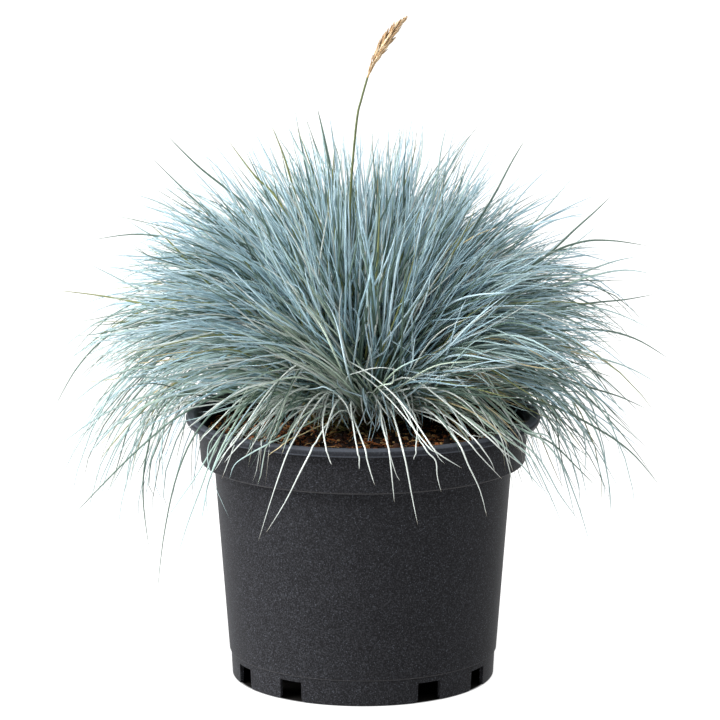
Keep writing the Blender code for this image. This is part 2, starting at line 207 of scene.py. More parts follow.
class Dye:
    """One value in a finish. Sums on it add Math nodes, and node() adds any other kind of node."""

    def __init__(self, tree, socket=None):
        self.tree = tree
        self.socket = socket

    def node(self, kind, settings, inputs, output=0):
        made = self.tree.nodes.new("ShaderNode" + kind)
        for name, value in settings.items():
            if name == "stops":
                elements = made.color_ramp.elements
                while len(elements) < len(value):
                    elements.new(1.0)
                for element, (position, colour) in zip(elements, value):
                    element.position = position
                    element.color = (*colour, 1.0)
            elif name == "interpolation":
                made.color_ramp.interpolation = value
            else:
                setattr(made, name, value)
        for name, value in inputs.items():
            if isinstance(value, Dye):
                self.tree.links.new(value.socket, made.inputs[name])
            elif isinstance(value, tuple) and made.inputs[name].type == "RGBA":
                made.inputs[name].default_value = (*value, 1.0)
            else:
                made.inputs[name].default_value = value
        return Dye(self.tree, made.outputs[output])

    def sum(self, operation, first, second=0.0):
        return self.node("Math", {"operation": operation}, {0: first, 1: second})

    def __add__(self, other):
        return self.sum("ADD", self, other)

    def __radd__(self, other):
        return self.sum("ADD", other, self)

    def __sub__(self, other):
        return self.sum("SUBTRACT", self, other)

    def __rsub__(self, other):
        return self.sum("SUBTRACT", other, self)

    def __mul__(self, other):
        return self.sum("MULTIPLY", self, other)

    def __rmul__(self, other):
        return self.sum("MULTIPLY", other, self)

    def __truediv__(self, other):
        return self.sum("DIVIDE", self, other)

    def __rtruediv__(self, other):
        return self.sum("DIVIDE", other, self)

    def fade(self, start, end):
        """0 before start, 1 after end, with a soft step between."""
        inputs = {"Value": self, "From Min": start, "From Max": end}
        return self.node("MapRange", {"interpolation_type": "SMOOTHSTEP"}, inputs)

    def blend(self, colour, other):
        """The first colour where this is 0, and the other where it is 1."""
        settings = {"data_type": "RGBA", "clamp_factor": True}
        return self.node("Mix", settings, {0: self, 6: colour, 7: other}, 2)

    def bump(self, strength, distance):
        return self.node("Bump", {}, {"Strength": strength, "Distance": distance, "Height": self})

    def part(self, axis):
        """One of the three parts of a place or a colour."""
        return self.node("SeparateXYZ", {}, {0: self}, axis)

    def noise(self, scale, detail=2.0, roughness=0.5):
        """Noise from 0 to 1 at this place."""
        inputs = {"Vector": self, "Scale": scale, "Detail": detail, "Roughness": roughness}
        return self.node("TexNoise", {}, inputs)


def rgb(red, green, blue):
    """A colour of a paint chart, 0 to 255, as the light that it reflects."""
    shares = [value / 255 for value in (red, green, blue)]
    return tuple(s / 12.92 if s <= 0.04045 else ((s + 0.055) / 1.055) ** 2.4 for s in shares)


def new_finish(name, roughness, specular):
    """A material with this roughness, and the Dye that its colours start from."""
    material = bpy.data.materials.new(name)
    material.use_nodes = True
    shader = material.node_tree.nodes["Principled BSDF"]
    shader.inputs["Roughness"].default_value = roughness
    shader.inputs["Specular IOR Level"].default_value = specular
    return material, Dye(material.node_tree)


def paint(material, **sockets):
    """Links the finished values to the shader: colour, roughness or normal."""
    names = {"colour": "Base Color", "roughness": "Roughness", "normal": "Normal"}
    shader = material.node_tree.nodes["Principled BSDF"]
    for name, value in sockets.items():
        material.node_tree.links.new(value.socket, shader.inputs[names[name]])


def pot_plastic():
    material, dye = new_finish("charcoal_pot_plastic", 0.4, 0.02)
    where = dye.node("TexCoord", {}, {}, "Object")
    cloud = where.noise(55.0, 4.0, 0.6)
    grain = where.noise(1300.0, 2.0, 0.7)
    fleck = dye.node("TexVoronoi", {}, {"Vector": where, "Scale": 1500.0})
    drawn = dye.node("TexVoronoi", {}, {"Vector": where, "Scale": 1500.0}, "Color").part("X")
    flecks = (1.0 - fleck.fade(0.15, 0.45)) * drawn.fade(0.75, 0.98)
    dark = cloud.blend(rgb(26, 26, 28), rgb(32, 32, 34))
    body = (grain.fade(0.42, 0.72) * 0.74).blend(dark, rgb(62, 63, 67))
    colour = (flecks * 0.5).blend(body, rgb(110, 115, 126))
    height = where.part("Z")
    lip = height.fade(LIP_UNDERSIDE - 0.0004, LIP_UNDERSIDE + 0.0006)
    lip_foot_highlight = lip * (1.0 - height.fade(LIP_UNDERSIDE + 0.0006, LIP_UNDERSIDE + 0.0011))
    crest_highlight = height.fade(CREST_HIGHLIGHT_STARTS, CREST_HIGHLIGHT_FULL)
    band_foot = height.fade(COLLAR_BOTTOM - 0.0002, COLLAR_BOTTOM + 0.0001)
    collar_foot_highlight = band_foot * (1.0 - height.fade(COLLAR_BOTTOM + 0.0005, COLLAR_BOTTOM + 0.0010))
    step_foot = height.fade(SKIRT_TOP - 0.0006, SKIRT_TOP - 0.0002)
    skirt_step_highlight = step_foot * (1.0 - height.fade(SKIRT_TOP, SKIRT_TOP + 0.0004))
    # Painted sheen: the lip's face is paler and bluer than the body.
    colour = (lip * 0.4).blend(colour, rgb(48, 51, 57))
    # Painted highlights: a pale line along the lip's crest and another along its lower edge.
    colour = (crest_highlight * 0.28 + lip_foot_highlight * 0.25).blend(colour, rgb(104, 109, 119))
    # Painted highlights: thin pale lines along the foot of the collar and along the skirt's step.
    colour = ((collar_foot_highlight + skirt_step_highlight) * 0.25).blend(colour, rgb(98, 96, 96))
    rough = 0.38 + grain * 0.16 - lip * 0.12
    relief = (grain + flecks * 0.5).bump(0.3, 0.0002)
    paint(material, colour=colour, roughness=rough, normal=relief)
    return material


pot = piece_from(turned_bmesh(rounded_section(POT_SECTION), POT_TURNS), "pot")
cut_by(pot, piece_from(notch_form(), "notches"))
cut_by(pot, piece_from(drain_form(), "drains"))
pot.data.materials.clear()
pot.data.materials.append(pot_plastic())
pot.data.shade_smooth()
pot.data.set_sharp_from_angle(angle=math.radians(SHARP_ANGLE))
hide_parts("nursery_pot")
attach(pot, "root")


# Potting soil. One packed plug of peat and coir fills the pot to just below the rim. Watering has let it
# sink along the wall, so a dark gap is left between the soil and the rim.

SOIL_TURNS = 150
SOIL_RINGS = 46
SOIL_TOP = 0.1355
SOIL_EDGE = 0.127
CLEARANCE = 0.0003
SOIL_FALL_STARTS = 0.070
SOIL_RADIUS = COLLAR_BOTTOM_RADIUS - WALL - CLEARANCE


def soil_height(x, y):
    """Height of the soil's surface: lumps and crumbs on a level top that falls away at the wall."""
    spread = math.hypot(x, y)
    out = max(0.0, spread - SOIL_FALL_STARTS) / (SOIL_RADIUS - SOIL_FALL_STARTS)
    lumps = 0.0016 * noise.noise(Vector((x, y, 0.0)) * 90.0)
    crumbs = 0.0011 * noise.noise(Vector((x, y, 0.3)) * 340.0)
    grit = 0.0006 * noise.noise(Vector((x, y, 0.7)) * 900.0)
    return SOIL_TOP + 0.0004 + lumps + crumbs + grit - (SOIL_TOP - SOIL_EDGE) * out**2.2


def soil_section():
    top = [Vector((SOIL_RADIUS * step / SOIL_RINGS, SOIL_TOP)) for step in range(SOIL_RINGS + 1)]
    body_top = BODY_TOP_RADIUS - WALL - CLEARANCE
    return top + [
        Vector((SOIL_RADIUS, COLLAR_BOTTOM + WALL + CLEARANCE)),
        Vector((body_top, COLLAR_BOTTOM + CLEARANCE)),
        Vector((BODY_BOTTOM_RADIUS - WALL - CLEARANCE - 0.0006, FLOOR_TOP + 0.0014)),
        Vector((BODY_BOTTOM_RADIUS - WALL - CLEARANCE - 0.0018, FLOOR_TOP + CLEARANCE)),
        Vector((0.0, FLOOR_TOP + CLEARANCE)),
    ]


def peat():
    material, dye = new_finish("peat_and_coir", 0.95, 0.25)
    where = dye.node("TexCoord", {}, {}, "Object")
    patch = where.noise(120.0, 6.0, 0.7)
    crumb = where.noise(900.0, 4.0, 0.7)
    dark = patch.fade(0.35, 0.65).blend(rgb(20, 12, 8), rgb(48, 28, 17))
    colour = crumb.fade(0.52, 0.72).blend(dark, rgb(78, 45, 26))
    paint(material, colour=colour, normal=crumb.bump(0.6, 0.0006))
    return material


plug = turned_bmesh(soil_section(), SOIL_TURNS)
for vert in plug.verts:
    if vert.co.z > SOIL_TOP - 1e-6:
        vert.co.z = soil_height(vert.co.x, vert.co.y)
soil = piece_from(plug, "soil", NEVER_SHARP)
soil.data.materials.append(peat())
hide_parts("potting_soil")
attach(soil, "root")


# Chips and coir. Bark chips and curled coconut fibres, from near black to orange, are mixed into the soil.
# On top of it they lie loose.

STRIPS = 64  # strips of a finish whose pieces each have a strip of their own, for its kind and its tint
CHIPS = 3600
FIBRES = 1500
THINNING = 0.2  # share of its thickness that a needle loses along its length, before its tip
TIP_SHARPNESS = 6.0  # the power of its length by which its tip comes to a point
BARK, BROWN, RUST, TAN = range(4)
SOIL_SHADES = (rgb(24, 14, 9), rgb(72, 40, 22), rgb(172, 102, 52), rgb(218, 172, 112))


def on_strip(dye):
    """The place on the strips: across all of them, and along the piece."""
    return dye.node("UVMap", {"uv_map": "OFBake"}, {})


def striped(dye, shades):
    """The colour of a strip's kind, and its own tint from 0 to 1. The kinds share the strips evenly."""
    across = on_strip(dye).part("X")
    stops = [(kind / len(shades), shade) for kind, shade in enumerate(shades)]
    shade = dye.node("ValToRGB", {"interpolation": "CONSTANT", "stops": stops}, {"Fac": across})
    number = dye.sum("FLOOR", across * STRIPS)
    tint = dye.node("TexWhiteNoise", {"noise_dimensions": "1D"}, {"W": number}, "Value")
    return shade, tint


def grey(dye, value):
    return dye.node("CombineColor", {}, {0: value, 1: value, 2: value}, 0)


def toned(dye, shade, tone, share=1.0):
    """The shade multiplied by the tone, over this share of it."""
    return dye.node("Mix", {"data_type": "RGBA", "blend_type": "MULTIPLY"}, {0: share, 6: shade, 7: tone}, 2)


def bark_and_coir():
    material, dye = new_finish("bark_and_coir", 0.8, 0.3)
    shade, tint = striped(dye, SOIL_SHADES)
    mottle = dye.node("TexCoord", {}, {}, "Object").noise(1400.0)
    strength = grey(dye, 0.32 + tint * 0.56 + (mottle - 0.5) * 0.6)
    paint(material, colour=toned(dye, shade, strength))
    return material


def joined(name, verts, loops, sizes, uv, finish):
    """One mesh from arrays: corners, the corners of every face in turn, and how many each face has."""
    mesh = bpy.data.meshes.new(name)
    mesh.vertices.add(len(verts))
    mesh.vertices.foreach_set("co", verts.astype(np.float32).ravel())
    mesh.loops.add(len(loops))
    mesh.loops.foreach_set("vertex_index", loops.astype(np.int32))
    mesh.polygons.add(len(sizes))
    starts = np.concatenate([[0], np.cumsum(sizes)[:-1]])
    mesh.polygons.foreach_set("loop_start", starts.astype(np.int32))
    mesh.update(calc_edges=True)
    mesh.validate()
    mesh.uv_layers.new(name="OFBake")
    mesh.uv_layers["OFBake"].data.foreach_set("uv", uv.astype(np.float32).ravel())
    mesh.materials.append(finish)
    piece = placed(name, mesh)
    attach(piece, "root")
    return piece


def needles(name, routes, girths, strips, finish, rng, sides=3, flatness=0.85):
    """One mesh of many thin needles along their routes, each tapering to a point.

    A needle's strip of its finish runs along it: its tint across, and its length upwards.
    """
    count, rings = routes.shape[0], routes.shape[1] - 1
    along = np.gradient(routes, axis=1)
    along /= np.linalg.norm(along, axis=2, keepdims=True)
    outward = routes[:, -1] - routes[:, 0]
    side = np.stack([-outward[:, 1], outward[:, 0], np.full(count, 1e-5)], axis=1)
    side /= np.linalg.norm(side, axis=1, keepdims=True)
    side = side[:, None] - along * np.sum(side[:, None] * along, axis=2, keepdims=True)
    side /= np.linalg.norm(side, axis=2, keepdims=True)
    upper = np.cross(along, side)
    shares = np.linspace(0, 1, rings + 1)[:rings]
    taper = (1 - shares**TIP_SHARPNESS) * (1 - THINNING * shares)
    radius = girths[:, None, None] * taper[None, :, None]
    roll = rng.uniform(-0.6, 0.6, count)
    corners = []
    for number in range(sides):
        angle = (roll + math.tau * number / sides + math.pi / 2)[:, None, None]
        offset = np.cos(angle) * side[:, :rings] + flatness * np.sin(angle) * upper[:, :rings]
        corners.append(routes[:, :rings] + radius * offset)
    rim = np.stack(corners, axis=2).reshape(count, rings * sides, 3)
    verts = np.concatenate([rim, routes[:, -1:]], axis=1)

    ring, number = np.meshgrid(np.arange(rings - 1), np.arange(sides), indexing="ij")
    ring, number = ring.ravel(), number.ravel()
    onward = (number + 1) % sides
    low, high = ring * sides, (ring + 1) * sides
    quads = np.stack([low + number, low + onward, high + onward, high + number], axis=1)
    quad_across = np.stack([number, number + 1, number + 1, number], axis=1)
    quad_along = np.stack([ring, ring, ring + 1, ring + 1], axis=1)
    number = np.arange(sides)
    last = (rings - 1) * sides
    tips = np.stack([last + number, last + (number + 1) % sides, np.full(sides, rings * sides)], axis=1)
    tip_across = np.stack([number, number + 1, number + 0.5], axis=1)
    tip_along = np.tile([rings - 1, rings - 1, rings], (sides, 1))
    foot = np.arange(sides)[::-1]

    loops = np.concatenate([quads.ravel(), tips.ravel(), foot])
    sizes = np.concatenate([np.full(len(quads), 4), np.full(len(tips), 3), [sides]])
    loop_across = np.concatenate([quad_across.ravel(), tip_across.ravel(), foot])
    loop_along = np.concatenate([quad_along.ravel(), tip_along.ravel(), 0.1 * (foot % 2)])
    u = (strips[:, None] + 0.2 + 0.6 * loop_across[None, :] / sides) / STRIPS
    v = np.tile(0.01 + 0.98 * loop_along / rings, (count, 1))
    uv = np.stack([u.ravel(), v.ravel()], axis=1)
    all_loops = (loops[None, :] + (np.arange(count) * verts.shape[1])[:, None]).ravel()
    return joined(name, verts.reshape(-1, 3), all_loops, np.tile(sizes, count), uv, finish)


def drawn_kinds(count, shares, rng):
    """A kind for each piece, drawn by the kinds' shares."""
    weights = np.array(list(shares.values()), float)
    return rng.choice(np.array(list(shares)), count, p=weights / weights.sum())


def strips_for(kinds, shades, rng):
    """A strip of the finish for each piece, drawn from those of its kind."""
    return kinds * STRIPS // len(shades) + rng.integers(0, STRIPS // len(shades), len(kinds))


def on_soil(count, rng):
    """Places scattered evenly over the soil."""
    spread = (SOIL_RADIUS - 0.002) * np.sqrt(rng.uniform(0.05, 1, count))
    turn = rng.uniform(0, math.tau, count)
    x, y = spread * np.cos(turn), spread * np.sin(turn)
    z = np.array([soil_height(*place) for place in zip(x, y)])
    return np.stack([x, y, z], axis=1)


def bark_chips(rng):
    """Six-sided chips with uneven corners, most of them lying flat."""
    box = np.array([(x, y, z) for x in (-1, 1) for y in (-1, 1) for z in (-1, 1)], float)
    faces = np.array([(0, 1, 3, 2), (4, 6, 7, 5), (0, 4, 5, 1), (2, 3, 7, 6), (0, 2, 6, 4), (1, 5, 7, 3)])
    length = 0.0006 + 0.0030 * rng.beta(1.2, 2.4, CHIPS)
    broad, thick = rng.uniform(0.3, 0.8, CHIPS), rng.uniform(0.15, 0.5, CHIPS)
    size = np.stack([length, length * broad, length * thick], axis=1)
    corners = box * size[:, None] * rng.uniform(0.5, 1.0, (CHIPS, 8, 3))
    turn, tip = rng.uniform(0, math.tau, CHIPS), rng.normal(0, 0.45, CHIPS)
    along = np.stack([np.cos(turn) * np.cos(tip), np.sin(turn) * np.cos(tip), np.sin(tip)], axis=1)
    side = np.stack([-np.sin(turn), np.cos(turn), rng.normal(0, 0.4, CHIPS)], axis=1)
    upper = np.cross(along, side)
    axes = np.stack([along, side, upper], axis=1)
    axes /= np.linalg.norm(axes, axis=2, keepdims=True)
    places = on_soil(CHIPS, rng) + (0, 0, 0.0002)
    verts = (np.einsum("cvk,ckd->cvd", corners, axes) + places[:, None]).reshape(-1, 3)
    loops = (faces.ravel()[None, :] + 8 * np.arange(CHIPS)[:, None]).ravel()
    kinds = drawn_kinds(CHIPS, {BARK: 9, BROWN: 4.5, RUST: 2.4, TAN: 1.0}, rng)
    strips = strips_for(kinds, SOIL_SHADES, rng)
    across = np.tile([0.2, 0.8, 0.8, 0.2], 6 * CHIPS)
    along = np.tile([0.1, 0.1, 0.9, 0.9], 6 * CHIPS)
    uv = np.stack([(np.repeat(strips, 24) + across) / STRIPS, along], axis=1)
    return joined("bark_chips", verts, loops, np.full(6 * CHIPS, 4), uv, SOIL_FINISH)


def coir_fibres(rng):
    """Curled fibres: each lies along a turning path that rises and dips a little."""
    steps = 9
    bend = rng.normal(0, 0.4, FIBRES)[:, None] + rng.normal(0, 0.12, (FIBRES, steps))
    heading = rng.uniform(0, math.tau, FIBRES)[:, None] + np.cumsum(bend, axis=1)
    stride = (rng.uniform(0.004, 0.013, FIBRES) / steps)[:, None]
    x, y = np.cumsum(stride * np.cos(heading), axis=1), np.cumsum(stride * np.sin(heading), axis=1)
    rise = rng.uniform(0, 0.0018, FIBRES)[:, None] * np.sin(np.linspace(0, math.pi, steps))[None, :]
    routes = on_soil(FIBRES, rng)[:, None] + np.stack([x, y, rise + 0.0002], axis=2)
    spread = np.hypot(routes[..., 0], routes[..., 1])
    routes[..., :2] *= (spread.clip(0, SOIL_RADIUS - 0.001) / spread)[..., None]
    kinds = drawn_kinds(FIBRES, {BARK: 2, BROWN: 3, RUST: 6, TAN: 4}, rng)
    strips = strips_for(kinds, SOIL_SHADES, rng)
    girths = rng.uniform(0.00016, 0.00048, FIBRES)
    return needles("coir_fibres", routes, girths, strips, SOIL_FINISH, rng, flatness=1.0)


SOIL_FINISH = bark_and_coir()
bark_chips(np.random.default_rng(41))
coir_fibres(np.random.default_rng(42))


# Leaf bases. The crown is a low cushion of old leaf bases, olive and straw, packed tight in the soil. Every
# leaf grows out of it.

CROWN_TOP = 0.149
CROWN_FALL = 0.005
BASE_SPREAD = 0.018
CUSHION_RADIUS = 0.0245
CUSHION_SUNK = 0.0012
CUSHION_RINGS = 11
CUSHION_TURNS = 60
SHEATHS = 1500
OLIVE_SHEATH, STRAW_SHEATH, BROWN_SHEATH, DARK_SHEATH = range(4)
SHEATH_SHADES = (rgb(98, 96, 52), rgb(172, 152, 98), rgb(98, 66, 38), rgb(52, 46, 26))


def radial(turn, spread, height):
    """Points at these turns round the axis, distances from it and heights."""
    return np.stack([spread * np.cos(turn), spread * np.sin(turn), height], axis=-1)


def crown_height(spread):
    return CROWN_TOP - CROWN_FALL * (spread / BASE_SPREAD) ** 2


def sheath_finish():
    material, dye = new_finish("leaf_bases", 0.7, 0.3)
    shade, tint = striped(dye, SHEATH_SHADES)
    paint(material, colour=toned(dye, shade, grey(dye, 0.6 + tint * 0.6)))
    return material


def thatch_finish():
    material, dye = new_finish("crown_thatch", 0.9, 0.2)
    tuft = dye.node("TexCoord", {}, {}, "Object").noise(420.0, 5.0, 0.7)
    colour = tuft.fade(0.4, 0.7).blend(rgb(34, 30, 18), rgb(92, 82, 46))
    paint(material, colour=colour, normal=tuft.bump(0.8, 0.0008))
    return material


SHEATH_FINISH = sheath_finish()
cushion_section = [Vector((0.0, CROWN_TOP - CUSHION_SUNK))]
for step in range(1, CUSHION_RINGS + 1):
    spread = BASE_SPREAD * step / CUSHION_RINGS
    cushion_section.append(Vector((spread, crown_height(spread) - CUSHION_SUNK)))
cushion_section.append(Vector((CUSHION_RADIUS, SOIL_TOP - 0.001)))
cushion_section.append(Vector((CUSHION_RADIUS - 0.004, SOIL_TOP - 0.006)))
cushion_section.append(Vector((0.0, SOIL_TOP - 0.006)))
cushion = piece_from(turned_bmesh(cushion_section, CUSHION_TURNS), "crown_cushion", NEVER_SHARP)
cushion.data.materials.append(thatch_finish())
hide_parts("crown")
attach(cushion, "root")

rng = np.random.default_rng(51)
turn = rng.uniform(0, math.tau, SHEATHS)
share = rng.uniform(0.0, 1.0, SHEATHS)
stations = [0, 0.45, 1]  # the middle of the crown, the edge of its top and its foot
spread = np.interp(share, stations, [0.004, BASE_SPREAD, CUSHION_RADIUS])
height = np.interp(share, stations, [CROWN_TOP, CROWN_TOP - CROWN_FALL, SOIL_TOP])
base = radial(turn, spread - 0.002, height - 0.002)
slope = np.interp(share, stations, [1.5, 0.75, 0.25]) + rng.normal(0, 0.25, SHEATHS)
length = rng.uniform(0.006, 0.015, SHEATHS)
heading = turn + rng.normal(0, 0.5, SHEATHS)
tip = base + radial(heading, length * np.cos(slope), length * np.sin(slope))
shares = np.linspace(0, 1, 6)[None, :, None]
routes = base[:, None] * (1 - shares) + tip[:, None] * shares
routes += rng.normal(0, 0.0012, (SHEATHS, 1, 3)) * np.sin(shares * math.pi)
kinds = drawn_kinds(SHEATHS, {OLIVE_SHEATH: 5, STRAW_SHEATH: 1.2, BROWN_SHEATH: 2, DARK_SHEATH: 4}, rng)
strips = strips_for(kinds, SHEATH_SHADES, rng)
girths = rng.uniform(0.0006, 0.0011, SHEATHS)
needles("leaf_sheaths", routes, girths, strips, SHEATH_FINISH, rng)


# Leaves. Blue fescue's leaves are rolled into needles a little over a millimetre thick, with a blue-white
# wax bloom. Each grows from the crown in one arc, and neighbours lean together into wisps that share a tip.

LEAF_CENTRE = 0.150  # height of the middle of the ball of leaf tips
LEAF_REACH = 0.168
MOST_LEAN = math.radians(126)
LOWEST_START = math.radians(50)
TIP_FALL = math.radians(172)
FRONT = math.radians(-90)
LEAF_RINGS = 10
LIP_NEAR, LIP_INSIDE = 0.083, 0.085  # how far from the axis a leaf nears the lip, and lies on it
LEAF_LIES, LEAF_CLEARS = 0.0014, 0.0016  # how high above the lip a leaf's middle lies, and passes
ROOTED = 0.001  # how deep a leaf starts in the crown
WISP_FOOT, WISP_TIP = 0.009, 0.0022  # how far a wisp's leaves scatter at its foot and at its tip
WISP_LOOSENESS = 0.06  # and how much further, the shorter they are

# The kinds of leaf, in the order of their strips.
SHADED, GREEN, BLUE, PALE, SILVER, OLIVE, STRAW, SAGE = range(8)
LEAF_SHADES = (
    rgb(80, 100, 90),
    rgb(148, 166, 148),
    rgb(150, 182, 194),
    rgb(200, 222, 230),
    rgb(206, 213, 208),
    rgb(132, 138, 88),
    rgb(206, 190, 148),
    rgb(176, 191, 176),
)


def leaf_finish():
    material, dye = new_finish("blue_leaf", 0.5, 0.45)
    shade, tint = striped(dye, LEAF_SHADES)
    strip = on_strip(dye)
    across, along = strip.part("X"), strip.part("Y")
    grain = {"Vector": strip, "Scale": 14.0, "Detail": 2.0}
    mottle = dye.node("TexNoise", {"noise_dimensions": "2D"}, grain)
    # A pale line along one ridge of each leaf: partly a paler rib, partly painted highlight.
    from_edge = dye.sum("FRACT", across * STRIPS) - 0.42
    edge = 1.0 - dye.sum("ABSOLUTE", from_edge).fade(0.02, 0.09)
    outer = along.fade(0.3, 0.85)
    uneven = (mottle - 0.5) * 0.3 - outer * (tint * 0.4 + edge * 0.25 - 0.12)
    bleached = across.fade(SILVER / len(LEAF_SHADES) - 0.001, SILVER / len(LEAF_SHADES))
    weathered = bleached * (along.fade(0.35, 0.9) * 0.44 - 0.15)
    lighter = 0.83 + tint * 0.64 + edge * 0.40 + uneven - weathered
    lit = (1.0 - bleached) * across.fade(GREEN / len(LEAF_SHADES) - 0.001, GREEN / len(LEAF_SHADES))
    shade = (outer * lit * 0.65).blend(shade, rgb(147, 172, 181))
    # Each leaf darkens towards its foot: partly its greener base, partly painted shade deep in the clump.
    lower = (1.0 - along.fade(0.0, 0.48)) * (1.0 - bleached * 0.8)
    waxed = toned(dye, shade, grey(dye, lighter))
    shaded = toned(dye, waxed, (0.34, 0.42, 0.32), lower)
    foot = 1.0 - along.fade(0.0, 0.12)
    sheath = (foot * 0.7).blend(shaded, rgb(112, 104, 58))
    tip = along.fade(0.93, 0.99) * (0.25 + 0.6 * tint) * (0.12 + 0.88 * bleached)
    paint(material, colour=tip.blend(sheath, rgb(196, 176, 140)))
    return material


LEAF_FINISH = leaf_finish()

# The route of the flower stem through the leaves.
STEM_ROUTE = (
    (-0.0012, -0.0058, 0.1432),
    (-0.0022, -0.0078, 0.165),
    (-0.0038, -0.0120, 0.190),
    (-0.0055, -0.0165, 0.210),
    (-0.0067, -0.0205, 0.226),
    (-0.0071, -0.0245, 0.247),
    (-0.0061, -0.0290, 0.273),
    (-0.0032, -0.0330, 0.305),
    (-0.0008, -0.0342, 0.316),
)


def beside_stem(routes, rng):
    """The leaves that leave the stem in view: most of those in front of it stand to one side."""
    knots = np.array(STEM_ROUTE)
    shares = np.linspace(0, 1, 6)[None, None, :, None]
    points = routes[:, :-1, None] * (1 - shares) + routes[:, 1:, None] * shares
    x, y, z = (points[..., axis].reshape(len(routes), -1) for axis in range(3))
    across = np.abs(x - np.interp(z, knots[:, 2], knots[:, 0])) < 0.0011
    in_front = y < np.interp(z, knots[:, 2], knots[:, 1])
    beside = (z > 0.200) & (z < knots[-1, 2])
    hidden = np.sum(across & in_front & beside, axis=1)
    return (hidden < 2) | (rng.uniform(0, 1, len(routes)) < 0.25)


def leaves_from(name, routes, girths, kinds, rng, sides=3):
    """One mesh of leaves. Where a leaf crosses the pot's lip, it lies on it."""
    spread = np.hypot(routes[..., 0], routes[..., 1])
    lip = [LIP_NEAR, LIP_INSIDE, LIP_RADIUS + 0.0006, LIP_RADIUS + 0.0018]
    over_lip = np.interp(spread, lip, [0, 1, 1, 0])
    routes[..., 2] += over_lip * (POT_HEIGHT + LEAF_LIES - routes[..., 2]).clip(0)
    strips = strips_for(kinds, LEAF_SHADES, rng)
    return needles(name, routes, girths, strips, LEAF_FINISH, rng, sides)


def cubic(base, first, last, tip, shares):
    """Points at these shares of the way along cubic curves."""
    rest = 1 - shares
    return rest**3 * base + 3 * rest**2 * shares * first + 3 * rest * shares**2 * last + shares**3 * tip


def leaf_routes(curves, rings, rng, sway, hook):
    """Points along many leaves at once. Sway bends them sideways, and hook turns their tips."""
    base, first, last, tip = (points[:, None] for points in curves)
    shares = np.linspace(0, 1, rings + 1)[None, :, None]
    routes = cubic(base, first, last, tip, shares)
    count = len(routes)
    across = np.cross(tip - base, rng.normal(0, 1, (count, 1, 3)))
    across /= np.linalg.norm(across, axis=2, keepdims=True)
    routes += sway * rng.normal(0, 1, (count, 1, 1)) * np.sin(shares * math.pi) * across
    routes += sway * rng.normal(0, 0.5, (count, 1, 1)) * np.sin(shares * math.tau) * across
    routes += hook * rng.exponential(1.0, (count, 1, 1)).clip(0, 4) * shares**6 * across
    return routes


def arcs(lean, turn, reach, curl, rise, fall=0.0):
    """The curves of arcs that lean this far from upright, towards these turns.

    The more a leaf leans, the flatter it starts and the more its tip falls. Curl is 1 for a leaf that falls
    as its neighbours do, and 0 for a straight one. Rise steepens its start, and fall its tip.
    """
    part = lean / MOST_LEAN
    base = radial(turn, BASE_SPREAD * part.clip(0, 1), crown_height(BASE_SPREAD * part.clip(0, 1)))
    tip = radial(turn, reach * np.sin(lean), LEAF_CENTRE + reach * np.cos(lean))
    away = tip - base
    chord = np.linalg.norm(away, axis=-1)
    level = away[:, 0] * np.cos(turn) + away[:, 1] * np.sin(turn)
    chord_slope = np.arctan2(away[:, 2], level)
    start_slope = LOWEST_START + (math.pi / 2 - LOWEST_START) * (1 - part.clip(0, 1)) ** 2
    tip_slope = math.pi / 2 - TIP_FALL * np.abs(part) ** 1.15
    start_slope = chord_slope + curl.clip(0, 1.15) * (start_slope - chord_slope) + rise
    tip_slope = chord_slope + curl * (tip_slope - chord_slope) - fall
    stem_length = (0.45 + 0.35 * part**2) * chord
    start = radial(turn, np.cos(start_slope), np.sin(start_slope)) * stem_length[:, None]
    end = radial(turn, np.cos(tip_slope), np.sin(tip_slope)) * (0.36 * chord)[:, None]
    return base, base + start, tip - end, tip


def clear_of_lip(curves):
    """Lifts the start of each leaf that would cut the pot's lip until it passes over."""
    base, first, last, tip = curves
    shares = np.linspace(0, 1, 41)[None, :, None]
    reaches_out = np.hypot(tip[:, 0], tip[:, 1]) > LIP_RADIUS + 0.004
    for _ in range(6):
        routes = cubic(*(points[:, None] for points in (base, first, last, tip)), shares)
        spread = np.hypot(routes[..., 0], routes[..., 1])
        over_lip = (spread > LIP_INSIDE) & (spread < LIP_RADIUS + 0.002)
        short = np.where(over_lip, POT_HEIGHT + LEAF_CLEARS - routes[..., 2], 0.0).max(axis=1).clip(0, 0.006)
        first[:, 2] += 1.9 * short * reaches_out
    return base, first, last, tip


